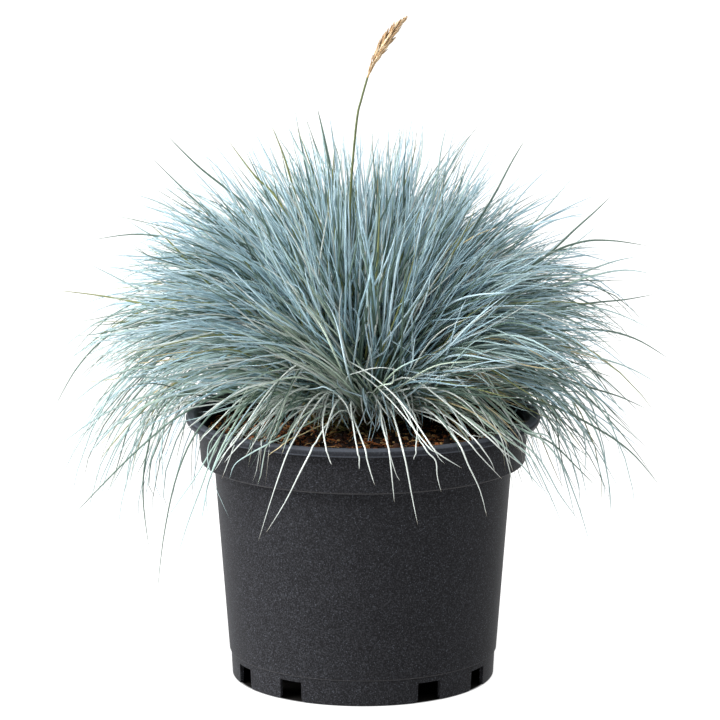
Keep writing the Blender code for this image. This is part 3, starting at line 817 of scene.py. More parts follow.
def wisp(lean, turn, reach, curl, each, rng, shorter):
    """The curves of the leaves of many wisps. Each wisp's leaves end along its own arc, near its tip."""
    fall = rng.normal(0.1, 0.26, len(lean)) * (lean / MOST_LEAN).clip(0.15, 1)
    b, first, last, t = arcs(lean, turn, reach, curl, rng.normal(0, 0.05, len(lean)), fall)
    sway = rng.normal(0, 0.004, (len(lean), 3))
    own = np.repeat(np.arange(len(lean)), each)
    count = len(own)
    short = (shorter * rng.beta(1.0, 1.6, count))[:, None]
    share = 1 - short
    b, first, last, t = b[own], first[own] + sway[own], last[own] + sway[own], t[own]
    scatter = WISP_TIP + WISP_LOOSENESS * short
    tip = cubic(b, first, last, t, share) + scatter * rng.normal(0, 1, (count, 3))
    rest = 1 - share
    heading = rest**2 * (first - b) + 2 * rest * share * (last - first) + share**2 * (t - last)
    heading /= np.linalg.norm(heading, axis=1, keepdims=True)
    base = b + WISP_FOOT * rng.normal(0, 1, (count, 3)) * (1, 1, 0)
    spread = np.hypot(base[:, 0], base[:, 1])
    base[:, :2] *= (spread.clip(0, BASE_SPREAD) / spread)[:, None]
    base[:, 2] = crown_height(np.hypot(base[:, 0], base[:, 1])) - ROOTED
    length = np.linalg.norm(tip - base, axis=1) / np.linalg.norm(t - b, axis=1)
    start = (first - b) * (length * rng.uniform(0.85, 1.15, count))[:, None]
    start += 0.09 * np.linalg.norm(start, axis=1, keepdims=True) * rng.normal(0, 1, (count, 3)) * (1, 1, 0.4)
    end = heading * (np.linalg.norm(t - last, axis=1) * length * rng.uniform(0.8, 1.2, count))[:, None]
    return clear_of_lip((base, base + start, tip - end, tip))


def even_spread(low, high, count, rng):
    """Leans and turns spread evenly over the ball of leaf tips between two leans, by the golden angle."""
    step = (np.arange(count) + 0.5) / count
    lean = np.arccos(np.cos(low) + (np.cos(high) - np.cos(low)) * step)
    turn = np.arange(count) * math.pi * (3 - math.sqrt(5)) + rng.uniform(0, math.tau)
    gap = math.sqrt(2 * math.pi * (math.cos(low) - math.cos(high)) / count)
    lean = np.abs(lean + rng.normal(0, 0.4 * gap, count))
    turn = turn + rng.normal(0, 0.4 * gap, count) / np.sin(lean).clip(0.15)
    return lean, turn


def from_front(turn):
    return np.abs((turn - FRONT + math.pi) % math.tau - math.pi)


def soft_step(value, start, end):
    share = ((value - start) / (end - start)).clip(0, 1)
    return share * share * (3 - 2 * share)


LEFT_LONGER = 0.045  # how much longer the leaves to the left are, and shorter to the right
UPPER_SHARES = {SHADED: 3.8, GREEN: 2.1, BLUE: 6, PALE: 5, SILVER: 1.2, OLIVE: 0.4, STRAW: 0.06}
LOWER_SHARES = {SHADED: 2.7, GREEN: 6.8, BLUE: 1.5, PALE: 3.2, SILVER: 2.2, OLIVE: 0.6, STRAW: 0.3}


def grow(
    name, seed, leans, wisps, each, shares, girths,
    replaced, keep, reaches, shorter=0.26, shaded_side_shares=None,
):
    """One group of leaves: the wisps between two leans, in degrees. Keep gives the share kept at each."""
    rng = np.random.default_rng(seed)
    lean, turn = even_spread(math.radians(leans[0]), math.radians(leans[1]), wisps, rng)
    front = 1 - soft_step(from_front(turn), math.radians(35), math.radians(75))
    reach = LEAF_REACH * rng.uniform(*reaches, wisps) * (1 - LEFT_LONGER * np.cos(turn) * np.sin(lean))
    curl = rng.normal(1.15, 0.4, wisps).clip(0, 2) * (1 - 0.7 * front)
    number = rng.integers(each[0], each[1] + 1, wisps)
    number = np.where(rng.uniform(0, 1, wisps) < keep(lean, from_front(turn)), number, 0)
    curves = wisp(lean, turn, reach, curl, number, rng, shorter)
    routes = leaf_routes(curves, LEAF_RINGS, rng, 0.0015, 0.0014)
    routes = routes[beside_stem(routes, rng)]
    routes = routes[np.abs(routes).max(axis=1)[:, :2].max(axis=1) < LEAF_REACH + 0.004]
    count = len(routes)
    kinds = drawn_kinds(count, shares, rng)
    if shaded_side_shares:
        # Painted shade: low on the right, away from the key light, the leaves take darker, greener kinds.
        low_right = (routes[:, -1, 0] > 0.045) & (routes[:, -1, 2] < 0.19)
        kinds = np.where(low_right, drawn_kinds(count, shaded_side_shares, rng), kinds)
    piece = leaves_from(name, routes, rng.uniform(*girths, count), kinds, rng)
    if replaced:
        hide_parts(*replaced)
    return piece


def open_front(lean, away):
    """Few leaves lean over the front, where the soil shows, or hide the rim at both sides of it."""
    lean, away = np.degrees(lean), np.degrees(away)
    leaning = soft_step(lean, 38, 56) * (1 - soft_step(away, 28, 52))
    low = soft_step(lean, 79, 88) * (1 - soft_step(away, 80, 94))
    return 1 - np.maximum(leaning * (0.93 + 0.07 * soft_step(lean, 58, 68)), low)


def thin_below(lean, away):
    """Fewer and fewer leaves the lower they hang, and none over the front."""
    lean, away = np.degrees(lean), np.degrees(away)
    return (0.95 - 0.45 * soft_step(lean, 96, 124)) * soft_step(away, 84, 98)


upright = [f"tuft_{n:02d}" for n in range(1, 12)]
spreading = [f"tuft_{n:02d}" for n in range(12, 22)] + ["leaf_05", "leaf_08"]
arching = [f"tuft_{n:02d}" for n in range(22, 34)] + ["leaf_01", "leaf_02", "leaf_03", "leaf_04"]
drooping = [f"tuft_{n:02d}" for n in range(34, 46)] + ["leaf_06", "leaf_07"]
THICK, MIDDLING, THIN = (0.00056, 0.00090), (0.00052, 0.00084), (0.00056, 0.00078)
# Darker, greener kinds for the leaves low on the right: painted shade on the side away from the key light.
SHADED_SIDE_SHARES = {SHADED: 6.5, GREEN: 6, BLUE: 1.6, PALE: 1.6, SILVER: 0.8, OLIVE: 0.3, STRAW: 0.3}
SHORT_SHARES = {SHADED: 2, GREEN: 1.6, BLUE: 3, PALE: 9, SILVER: 5, OLIVE: 0.3}
grow("upright_leaves", 3, (0, 44), 205, (5, 9), UPPER_SHARES, THICK, upright, open_front, (0.74, 1.0))
grow(
    "spreading_leaves", 5, (44, 70), 355, (4, 8), UPPER_SHARES, THICK, spreading, open_front,
    (0.72, 1.0), 0.3,
)
grow(
    "arching_leaves", 8, (70, 94), 400, (4, 8), LOWER_SHARES, MIDDLING, arching, open_front, (0.72, 1.0),
    shaded_side_shares=SHADED_SIDE_SHARES,
)
grow(
    "drooping_leaves", 11, (94, 128), 400, (2, 5), LOWER_SHARES, THIN, drooping, thin_below, (0.74, 1.02),
    shaded_side_shares=SHADED_SIDE_SHARES,
)
grow("short_leaves", 13, (5, 75), 470, (3, 4), SHORT_SHARES, MIDDLING, (), open_front, (0.42, 0.8), 0.5)


# Forward leaves. A few long straight leaves, green and grey-green, lean out to the front over the soil.
# They grow from the crown like the others, and pass above the rim.

rng = np.random.default_rng(17)
FORWARD_LEAVES = 9
turn = FRONT + rng.uniform(-0.8, 0.8, FORWARD_LEAVES)
lean = np.radians(rng.uniform(60, 80, FORWARD_LEAVES))
reach = LEAF_REACH * rng.uniform(0.96, 1.04, FORWARD_LEAVES)
curl = rng.uniform(-0.1, 0.3, FORWARD_LEAVES)
curves = clear_of_lip(arcs(lean, turn, reach, curl, rng.normal(0, 0.04, FORWARD_LEAVES)))
routes = leaf_routes(curves, 14, rng, 0.003, 0.001)
kinds = drawn_kinds(FORWARD_LEAVES, {GREEN: 4, SAGE: 4, PALE: 2}, rng)
leaves_from("forward_leaves", routes, rng.uniform(*THIN, FORWARD_LEAVES), kinds, rng)


# Long leaves. The longest leaves stand out one by one beyond the rest, and a few olive ones before the
# middle. They are living leaves, a little thicker than their neighbours, and grow from the crown like them.

# Where the photo's camera stood, found from ellipses fitted to the pot: how far before its axis, how high
# and how steep. Lengths are in millimetres here, and places in the photo in pixels across and down.
CAMERA_AWAY = 2000.0
CAMERA_UP = 563.801
CAMERA_PITCH = 11.1  # degrees below level
FOCUS = 3817.3  # the lens's focal length in pixels
AXIS_PIXEL = 363  # where the photo shows the pot's axis, across
LEVEL_PIXEL = 360  # the middle of the photo, down

MIDDLE = -30  # a leaf whose tip is nearer than this stands before the middle of the clump
SIDE_START, MIDDLE_START = -8, -12  # where the others and these start; minus is nearer than the axis
OVER_RIM = None  # in place of its tip's depth, for a leaf that hangs over the rim
RIM_START = (-14, -38)  # where such a leaf's first two points are
RIM_CIRCLES = ((95, 22), (100, 18), (101.5, 14), (103, 10))  # the others' radii and least nearness
ON_RIM = 144  # the height of a leaf that lies on the rim
LONG_GIRTH = 0.00082
LONG_RINGS = 28

# Each leaf's kind, its thickness, how far behind the pot's axis its tip is, and its points in the photo.
# They are read where the leaf shows, and guessed where others hide it, as at its first two or three.
LONG_LEAVES = (
    (SHADED, 1.15, -12, ((350, 390), (300, 270), (250, 208), (200, 168), (166, 136))),
    (SHADED, 1.0, 8, ((345, 390), (285, 290), (235, 238), (190, 196), (150, 156))),
    (OLIVE, 1.1, -20, ((352, 385), (318, 280), (280, 203), (255, 175), (227, 140))),
    (OLIVE, 1.1, -22, ((355, 380), (325, 280), (298, 205), (284, 158), (271, 125))),
    (GREEN, 1.0, 5, ((358, 380), (335, 260), (310, 172), (296, 145), (288, 125))),
    (SHADED, 1.1, -15, ((358, 380), (350, 240), (331, 170), (322, 132), (317, 107))),
    (GREEN, 0.8, 15, ((360, 380), (345, 240), (330, 182), (320, 158), (312, 140))),
    (SHADED, 1.1, -10, ((340, 395), (290, 320), (240, 264), (190, 243), (140, 234.5), (93, 240))),
    (OLIVE, 1.1, -15, ((340, 400), (270, 345), (200, 315), (140, 303), (100, 296), (55, 290.5))),
    (GREEN, 0.85, 10, ((340, 395), (240, 335), (170, 305), (138, 290), (110, 275), (88, 264))),
    (GREEN, 0.8, 14, ((345, 390), (270, 300), (215, 235), (175, 211), (152, 200), (130, 193))),
    (GREEN, 0.75, 20, ((345, 392), (265, 300), (205, 236), (175, 217), (158, 210), (138, 203))),
    (BLUE, 0.8, 0, ((343, 394), (270, 315), (205, 240), (178, 225), (158, 222.5), (140, 228))),
    (GREEN, 0.75, 12, ((343, 394), (255, 320), (190, 262), (160, 240), (142, 229), (125, 218))),
    (OLIVE, 1.1, -25, ((345, 392), (260, 325), (215, 290), (190, 264), (168, 240), (150, 224))),
    (BLUE, 0.7, 18, ((340, 396), (250, 330), (180, 290), (145, 274), (120, 267.5), (98, 266))),
    (BLUE, 0.7, 16, ((340, 398), (230, 330), (165, 292), (125, 292), (105, 296), (83, 303))),
    (BLUE, 0.75, 6, ((340, 398), (240, 340), (160, 305), (122, 303.5), (105, 308), (90, 315))),
    (SHADED, 0.95, -8, ((340, 400), (230, 345), (150, 323), (110, 335), (78, 367), (53, 410))),
    (GREEN, 0.8, 4, ((340, 400), (230, 350), (150, 329), (105, 338), (82, 350), (67, 360))),
    (GREEN, 0.7, 10, ((340, 400), (220, 345), (150, 330), (118, 334), (78, 341))),
    (GREEN, 0.9, -6, ((340, 402), (230, 365), (150, 366), (115, 374), (92, 387), (70, 405))),
    (GREEN, 0.85, -4, ((340, 403), (240, 385), (165, 392), (120, 407), (85, 426), (55, 450))),
    (GREEN, 0.75, 2, ((340, 404), (240, 390), (165, 398), (125, 418), (100, 440), (80, 465))),
    (SHADED, 0.95, -12, ((340, 404), (250, 388), (185, 413), (140, 448), (100, 486), (73, 515))),
    (SHADED, 0.95, -4, ((335, 404), (220, 388), (165, 405), (147, 455), (142.5, 500), (149, 550))),
    (GREEN, 0.75, 0, ((335, 404), (230, 388), (150, 404), (124, 435), (108, 470), (100, 497))),
    (GREEN, 0.75, 4, ((335, 404), (230, 388), (165, 398), (140, 430), (128, 465), (125, 498))),
    (GREEN, 0.7, 2, ((335, 404), (240, 388), (175, 400), (163, 430), (162, 460), (164, 487))),
    (GREEN, 0.75, OVER_RIM, ((330, 405), (262, 392), (222, 434), (200, 488), (186, 525), (177, 560))),
    (GREEN, 0.8, OVER_RIM, ((330, 405), (262, 394), (228, 438), (209, 478), (204, 505), (201, 527))),
    (GREEN, 0.7, OVER_RIM, ((330, 406), (265, 396), (232, 440), (211, 474), (206, 497), (209, 519))),
    (GREEN, 0.7, OVER_RIM, ((330, 405), (262, 392), (222, 434), (195, 478), (180, 500), (163, 524))),
    (SHADED, 1.0, -6, ((380, 390), (480, 310), (545, 258), (575, 229), (595, 210), (612, 196))),
    (SHADED, 1.1, -12, ((380, 392), (470, 310), (540, 258), (580, 243), (612, 240), (649, 247))),
    (GREEN, 0.9, 8, ((380, 394), (480, 320), (555, 284), (595, 267), (618, 261), (637, 256))),
    (GREEN, 1.0, -5, ((380, 394), (485, 325), (565, 285), (600, 273), (628, 270), (652, 273))),
    (SHADED, 0.95, -10, ((382, 396), (480, 335), (550, 311), (590, 303), (625, 299), (656, 294))),
    (GREEN, 0.85, 0, ((382, 396), (480, 340), (555, 312), (590, 307), (620, 314), (651, 330))),
    (BLUE, 0.75, 10, ((382, 396), (480, 325), (550, 290), (582, 284), (605, 289), (628, 298))),
    (SHADED, 1.1, -12, ((382, 398), (480, 350), (555, 332), (600, 330), (636, 340), (671, 360))),
    (GREEN, 0.85, 2, ((382, 398), (480, 355), (560, 350), (600, 359), (632, 370), (659, 384))),
    (SHADED, 0.95, -8, ((382, 400), (480, 370), (550, 376), (590, 387), (620, 397), (648, 409))),
    (SHADED, 1.05, -14, ((382, 402), (470, 388), (545, 404), (595, 426), (632, 452), (661, 488))),
    (GREEN, 0.9, 2, ((382, 402), (480, 380), (560, 388), (594, 428), (609, 480), (611, 525))),
    (GREEN, 0.75, 6, ((382, 402), (480, 378), (565, 380), (600, 402), (615, 432), (621, 460))),
    (GREEN, 0.7, 8, ((382, 402), (480, 370), (565, 370), (595, 382), (615, 402), (631, 420))),
    (GREEN, 0.75, 4, ((380, 402), (470, 382), (535, 393), (565, 428), (580, 468), (588, 500))),
    (GREEN, 0.75, 8, ((382, 402), (480, 380), (555, 384), (578, 418), (585, 450), (584, 480))),
    (SHADED, 0.9, OVER_RIM, ((380, 402), (460, 386), (520, 410), (552, 443), (577, 467), (597, 487))),
    (GREEN, 0.85, OVER_RIM, ((380, 402), (465, 386), (525, 405), (556, 455), (576, 500), (591, 545))),
    (GREEN, 0.75, OVER_RIM, ((378, 404), (440, 392), (500, 430), (530, 455), (548, 490), (563, 525))),
    (GREEN, 0.8, OVER_RIM, ((378, 404), (445, 392), (508, 426), (538, 458), (560, 495), (581, 524))),
    (GREEN, 0.75, OVER_RIM, ((378, 404), (450, 390), (520, 412), (552, 440), (568, 485), (575, 522))),
    (GREEN, 0.7, OVER_RIM, ((378, 404), (430, 398), (492, 436), (518, 462), (532, 478), (545, 493))),
    (GREEN, 0.75, 6, ((368, 380), (385, 260), (396, 180), (399, 150), (399, 121))),
    (GREEN, 0.75, -6, ((368, 380), (400, 260), (416, 180), (421, 150), (422, 123))),
    (GREEN, 0.85, -10, ((370, 380), (415, 260), (435, 188), (441, 150), (446, 125))),
    (GREEN, 0.85, -8, ((372, 380), (430, 270), (462, 196), (479, 162), (492, 137))),
    (SHADED, 0.95, -14, ((372, 380), (440, 280), (488, 204), (511, 162), (526, 140))),
    (GREEN, 0.75, 10, ((375, 385), (460, 300), (520, 240), (550, 202), (577, 173))),
    (BLUE, 0.75, 14, ((376, 386), (460, 305), (530, 232), (565, 208), (599, 193))),
    (BLUE, 0.7, 12, ((376, 388), (470, 305), (530, 236), (562, 219), (592, 213))),
    (GREEN, 0.7, 6, ((376, 390), (480, 310), (550, 262), (580, 240), (601, 222))),
    (BLUE, 0.7, 16, ((375, 384), (455, 290), (505, 215), (530, 185), (552, 165))),
    (BLUE, 0.75, 10, ((374, 384), (445, 290), (490, 222), (508, 192), (522, 174))),
    (OLIVE, 1.0, -52, ((358, 385), (347, 320), (335, 290), (316, 262), (302, 232), (290, 205))),
    (OLIVE, 0.95, -50, ((352, 385), (322, 310), (304, 285), (293, 250), (284, 222))),
    (OLIVE, 0.9, -55, ((358, 385), (350, 310), (342, 285), (336, 250), (333, 215))),
    (OLIVE, 0.9, -40, ((374, 385), (392, 300), (404, 250), (414, 225), (420, 205))),
    (OLIVE, 0.85, -40, ((376, 385), (410, 310), (440, 262), (462, 235), (478, 218))),
    (STRAW, 0.8, -35, ((376, 385), (420, 300), (450, 255), (475, 236), (500, 226))),
    (OLIVE, 0.9, -45, ((350, 385), (300, 330), (268, 290), (246, 262), (228, 245))),
)


def seen_at(across, down, y):
    """The place of what the photo shows at this pixel, if it is this far behind the pot's axis."""
    away = CAMERA_AWAY + y
    pitch = math.radians(CAMERA_PITCH)
    height = CAMERA_UP + away * math.tan(math.atan((LEVEL_PIXEL - down) / FOCUS) - pitch)
    depth = away * math.cos(pitch) + (CAMERA_UP - height) * math.sin(pitch)
    return (across - AXIS_PIXEL) * depth / FOCUS, y, height


def on_circle(across, down, radius, nearest=0.0):
    """The same, if it is on the front of a circle round the axis, or at least this far before the axis."""
    y = -nearest
    for _ in range(20):
        x = seen_at(across, down, y)[0]
        y = -math.sqrt(max(radius**2 - x**2, nearest**2))
    return seen_at(across, down, y)


def long_knots(end, points):
    """The knots of a long leaf, to the millimetre. One over the rim lies on it and hangs down outside it."""
    if end is OVER_RIM:
        first, second, lying, *hanging = points
        knots = [seen_at(*first, RIM_START[0]), seen_at(*second, RIM_START[1])]
        knots.append((*on_circle(*lying, *RIM_CIRCLES[0])[:2], ON_RIM))
        knots += [on_circle(*point, *circle) for point, circle in zip(hanging, RIM_CIRCLES[1:])]
    else:
        start, steps = (MIDDLE_START, len(points) - 2) if end < MIDDLE else (SIDE_START, 3)
        depths = [start + (end - start) * min(1, number / steps) for number in range(len(points))]
        knots = [seen_at(*point, depth) for point, depth in zip(points, depths)]
    return [[round(place) for place in knot] for knot in knots]


def smooth_route(knots, rings):
    """Points of a smooth line through the knots."""
    knots = np.array([knots[0], *knots, knots[-1]], float)
    place = np.linspace(0, len(knots) - 3, rings + 1)
    index = np.minimum(place.astype(int), len(knots) - 4)
    share = (place - index)[:, None]
    a, b, c, d = (knots[index + step] for step in range(4))
    bend = (2 * a - 5 * b + 4 * c - d) * share**2 + (3 * b - a - 3 * c + d) * share**3
    return 0.5 * (2 * b + (c - a) * share + bend)


def routes_through(rows, rings):
    """The kinds, the thicknesses and the routes, in metres, of leaves from rows of knots in millimetres.

    Each route starts inside the crown.
    """
    routes = []
    for _, _, knots in rows:
        root = (0.4 * knots[0][0], 0.5 * knots[0][1], 1000 * CROWN_TOP - 2)
        routes.append(smooth_route([root, *knots], rings) / 1000)
    return np.array([row[0] for row in rows]), np.array([row[1] for row in rows]), np.array(routes)


rng = np.random.default_rng(21)
long_rows = [(kind, thickness, long_knots(end, points)) for kind, thickness, end, points in LONG_LEAVES]
for count in (5, 6):
    kinds, thickness, routes = routes_through([row for row in long_rows if len(row[2]) == count], LONG_RINGS)
    leaves_from(f"long_leaves_{count}", routes, LONG_GIRTH * thickness, kinds, rng, sides=5)


# Front leaves. Older leaves hang over the front of the rim one by one, bleached silver, with dry tips. Each
# grows from the crown and lies on the rim where it crosses it.

FRONT_GIRTH = 0.00055
FRONT_RINGS = 30
FRONT_STEPS = 60
FIRST_OVER = 13  # a leaf may cross the rim from this step on
NEAR_RIM = 2.5  # pixels above the rim's line at which a leaf is over it
CROSSING = 95.6  # distance from the axis at which a leaf crosses the rim, in millimetres
SWING = 11.0  # how far its tip swings out from there, in millimetres
SWING_LENGTH = 45.0  # and the length along it over which it does so, in pixels
INSIDE_PACE = 0.55  # millimetres outwards for each pixel along a leaf that stays inside the rim
INSIDE_MOST = 58.0

# Each leaf's kind, its thickness, how far from the axis it starts, and its points in the photo, read where
# it shows. Two of them pass under a neighbour: how far their first knots are moved, in millimetres.
FRONT_LEAVES = (
    (SILVER, 0.95, 22, ((350, 404), (333, 391), (318, 404), (303, 423), (289, 448), (274, 487), (258, 542))),
    (SILVER, 0.95, 22, ((356, 416), (345, 411), (334, 415), (322, 431), (310, 451), (292, 489), (266, 533))),
    (SILVER, 0.85, 22, ((352, 398), (325, 366), (305, 363), (283, 376), (262, 400), (240, 434), (214, 470))),
    (PALE, 0.8, 22, ((350, 402), (322, 380), (303, 373), (281, 379), (260, 398), (243, 418), (226, 442))),
    (GREEN, 0.95, 22, ((355, 418), (338, 411), (316, 421), (290, 433), (262, 447), (238, 461), (229, 479))),
    (SILVER, 0.6, 22, ((350, 412), (337, 400), (328, 404), (322, 417))),
    (SILVER, 0.8, 22, ((346, 408), (332, 402), (324, 412), (322, 428), (326, 448), (332, 466))),
    (SILVER, 0.8, 22, ((360, 416), (355, 404), (348, 401), (353, 416), (357, 440), (359, 470))),
    (PALE, 0.6, 22, ((368, 412), (365, 395), (366, 405), (362, 422), (352, 441))),
    (SILVER, 0.9, 22, ((352, 408), (354, 418), (358, 430), (365, 450), (374, 485))),
    (PALE, 0.8, 22, ((372, 402), (373, 412), (371, 428), (367, 447))),
    (PALE, 0.7, 22, ((376, 404), (377, 416), (374, 430), (369, 446))),
    (SILVER, 1.0, 22, ((374, 398), (380, 410), (384, 430), (389, 458), (394, 503))),
    (PALE, 0.8, 22, ((368, 404), (376, 414), (382, 428), (386, 441))),
    (SILVER, 0.6, 22, ((377, 404), (384, 422), (389, 448), (393, 469), (401, 482))),
    (SILVER, 1.0, 22, ((382, 402), (391, 413), (399, 434), (407, 468), (418, 526))),
    (PALE, 0.9, 22, ((380, 404), (387, 411), (392, 422), (395, 431))),
    (SILVER, 0.8, 22, ((392, 396), (408, 405), (416, 420), (417, 440), (413, 461))),
    (SILVER, 0.8, 22, ((336, 362), (351, 367), (376, 376), (402, 405), (424, 438), (441, 455), (463, 469))),
    (SILVER, 0.75, 22, ((342, 364), (358, 368), (383, 384), (406, 413), (427, 441), (444, 464)),
        (1, 0, -2), (2, 0, -4), (-2, 1, -1), (-1, 0, 0)),
    (SILVER, 0.85, 22, ((376, 392), (388, 389), (405, 405), (419, 427), (432, 450), (441, 493)),
        (0, 0, 0), (0, 0, 0), (-2, 0, -1), (-4, 0, 0)),
    (SILVER, 0.9, 22, ((376, 400), (386, 397), (399, 403), (410, 416), (423, 434))),
    (SILVER, 1.0, 22, ((376, 394), (396, 377), (418, 382), (444, 402), (468, 421), (498, 446), (524, 468))),
    (PALE, 0.9, 22, ((390, 384), (404, 377), (424, 385), (447, 406), (461, 424), (472, 438))),
    (SILVER, 1.0, 22, ((400, 400), (416, 403), (438, 419), (459, 446), (475, 480), (487, 518))),
    (SILVER, 1.0, 22, ((396, 390), (418, 378), (444, 379), (464, 390), (483, 410), (500, 433))),
    (SILVER, 0.95, 34, ((420, 396), (444, 384), (466, 381), (490, 396), (508, 416), (522, 441))),
    (SILVER, 0.8, 36, ((410, 392), (440, 376), (462, 371), (484, 373), (503, 384))),
    (SILVER, 0.8, 22, ((402, 408), (426, 416), (450, 428), (474, 449), (502, 480))),
    (SILVER, 0.9, 22, ((402, 404), (432, 408), (462, 427), (482, 449), (495, 471))),
    (SILVER, 0.85, 22, ((400, 402), (425, 401), (455, 411), (486, 430), (512, 466))),
    (SILVER, 0.85, 22, ((405, 400), (434, 397), (466, 408), (500, 430), (528, 456))),
    (SILVER, 0.8, 34, ((420, 402), (450, 396), (480, 406), (500, 436), (514, 496))),
    (SILVER, 0.7, 22, ((390, 400), (400, 386), (416, 379), (427, 379), (430, 386))),
    (SILVER, 0.75, 22, ((366, 404), (366, 393), (373, 392), (377, 400), (374, 411))),
    (SILVER, 0.85, 34, ((346, 380), (362, 372), (381, 368), (399, 371))),
    (STRAW, 0.6, 60, ((312, 429), (295, 437), (280, 446), (268, 456))),
    (GREEN, 0.7, 34, ((330, 395), (284, 390), (240, 408), (212, 440), (208, 468), (229, 520))),
    (SHADED, 1.3, 34, ((330, 390), (270, 385), (215, 410), (184, 460), (166, 530), (158, 595))),
    (SILVER, 0.85, 22, ((346, 402), (310, 384), (262, 385), (222, 420), (197, 444))),
    (SILVER, 0.85, 22, ((346, 404), (318, 390), (280, 394), (246, 424), (218, 462))),
    (SILVER, 0.8, 22, ((350, 408), (322, 398), (288, 404), (254, 430), (224, 463))),
    (SILVER, 0.7, 50, ((338, 396), (346, 404), (350, 415), (353, 424))),
)


def in_photo(x, y, height):
    """The pixel at which the photo shows this place."""
    away, below = CAMERA_AWAY + y, CAMERA_UP - height
    pitch = math.radians(CAMERA_PITCH)
    depth = away * math.cos(pitch) + below * math.sin(pitch)
    up = away * math.sin(pitch) - below * math.cos(pitch)
    return AXIS_PIXEL + FOCUS * x / depth, LEVEL_PIXEL - FOCUS * up / depth


RIM_SEEN = np.array([
    in_photo(1000 * LIP_RADIUS * math.cos(turn), -1000 * LIP_RADIUS * math.sin(turn), 1000 * POT_HEIGHT)
    for turn in np.radians(range(181))
])


def front_knots(start, points):
    """The knots of a front leaf, to the millimetre: out from the crown to the rim, and down outside it."""
    path = smooth_route(points, FRONT_STEPS)
    walked = np.concatenate([[0], np.cumsum(np.hypot(*np.diff(path, axis=0).T))])
    rim = RIM_SEEN[np.abs(RIM_SEEN[:, :1] - path[:, 0]).argmin(axis=0), 1]
    over = [step for step in range(FIRST_OVER, FRONT_STEPS + 1) if path[step, 1] > rim[step] - NEAR_RIM]
    if over:
        edge, rest = over[0], FRONT_STEPS - over[0]
        radius = start + (CROSSING - start) * walked / walked[edge]
        radius[edge:] = CROSSING + SWING * (1 - np.exp((walked[edge] - walked[edge:]) / SWING_LENGTH))
        steps = [0, edge // 3, 2 * edge // 3, edge]
        steps += [edge + rest // 3, edge + 2 * rest // 3] if rest > 6 else []
    else:
        radius = start + min(INSIDE_PACE * walked[-1], INSIDE_MOST) * walked / walked[-1]
        steps = range(0, FRONT_STEPS, FRONT_STEPS // (4 if len(points) > 4 else 3))
    knots = [on_circle(*path[step], radius[step]) for step in [*steps, FRONT_STEPS]]
    return [(round(x), round(y), round(round(height, 1))) for x, y, height in knots]


def moved_nearer(x, y, height):
    """Inside the rim a leaf stands 6 to 20 mm nearer, the more the higher it is, before the others."""
    step = min(1.0, max(0.0, (70 + y) / 30)) * min(20.0, max(6.0, 0.6 * (height - 145)))
    return x, y - step, height + 0.2 * step


rng = np.random.default_rng(33)
front_rows = []
for kind, thickness, start, points, *moves in FRONT_LEAVES:
    knots = front_knots(start, points)
    for number, move in enumerate(moves):
        knots[number] = [place + step for place, step in zip(knots[number], move)]
    front_rows.append((kind, thickness, [moved_nearer(*knot) for knot in knots]))
kinds, thickness, routes = routes_through(front_rows, FRONT_RINGS)
leaves_from("front_leaves", routes, FRONT_GIRTH * thickness, kinds, rng, sides=6)


# Low leaves. On both sides of the front, older grey-green leaves arch low over the soil and the rim. They
# grow from the crown, and their tips are dry.

rng = np.random.default_rng(34)
LOW_LEAVES = 96
LOW_LEFT, LOW_RIGHT = -131, -33  # degrees round from the right side of the pot
middle = np.where(np.arange(LOW_LEAVES) % 2 < 1, LOW_LEFT, LOW_RIGHT)
turn = np.radians(middle + rng.normal(0, 10, LOW_LEAVES))
tip = radial(turn, rng.uniform(0.084, 0.106, LOW_LEAVES), rng.uniform(0.122, 0.147, LOW_LEAVES))
begin = turn + rng.normal(0.0, 0.5, LOW_LEAVES)
foot_spread = rng.uniform(0.006, BASE_SPREAD, LOW_LEAVES)
base = radial(begin, foot_spread, crown_height(foot_spread) - ROOTED)
heading = turn + rng.normal(0, 0.15, LOW_LEAVES)
first = base + radial(heading, rng.uniform(0.030, 0.046, LOW_LEAVES), rng.uniform(0.010, 0.032, LOW_LEAVES))
last = tip + radial(heading, -rng.uniform(0.015, 0.028, LOW_LEAVES), rng.uniform(0.018, 0.032, LOW_LEAVES))
curves = clear_of_lip((base, first, last, tip))
kinds = drawn_kinds(LOW_LEAVES, {SAGE: 6, SILVER: 4.5, GREEN: 1, SHADED: 3, STRAW: 0.6}, rng)
routes = leaf_routes(curves, 16, rng, 0.001, 0.001)
leaves_from("low_leaves", routes, rng.uniform(0.00048, 0.00074, LOW_LEAVES), kinds, rng, sides=4)


# Sheaf. A flat sheaf of grey-green leaves leans out to the left of the front, side by side. They grow from
# one spot at the front of the crown.

rng = np.random.default_rng(36)
SHEAF_LEAVES = 95
SHEAF_ROOT = np.array([0.004, -0.021, CROWN_TOP - 0.003])
SHEAF_TURN = 231  # degrees round from the right side of the pot
SHEAF_LEAN = 54  # degrees from upright
turn = np.radians(rng.normal(SHEAF_TURN, 6, SHEAF_LEAVES))
lean = np.radians(rng.normal(SHEAF_LEAN, 5, SHEAF_LEAVES))
length = rng.uniform(0.055, 0.125, SHEAF_LEAVES)
base = SHEAF_ROOT + rng.normal(0, 0.003, (SHEAF_LEAVES, 3)) * (1, 1, 0.3)
tip = base + radial(turn, length * np.sin(lean), length * np.cos(lean))
first = base + radial(turn, 0.26 * length * np.sin(lean), 0.44 * length * np.cos(lean))
last = base + radial(turn, 0.62 * length * np.sin(lean), 0.78 * length * np.cos(lean))
kinds = drawn_kinds(SHEAF_LEAVES, {SAGE: 6.5, SILVER: 2.5, GREEN: 1, SHADED: 2}, rng)
routes = leaf_routes((base, first, last, tip), 12, rng, 0.0016, 0.0016)
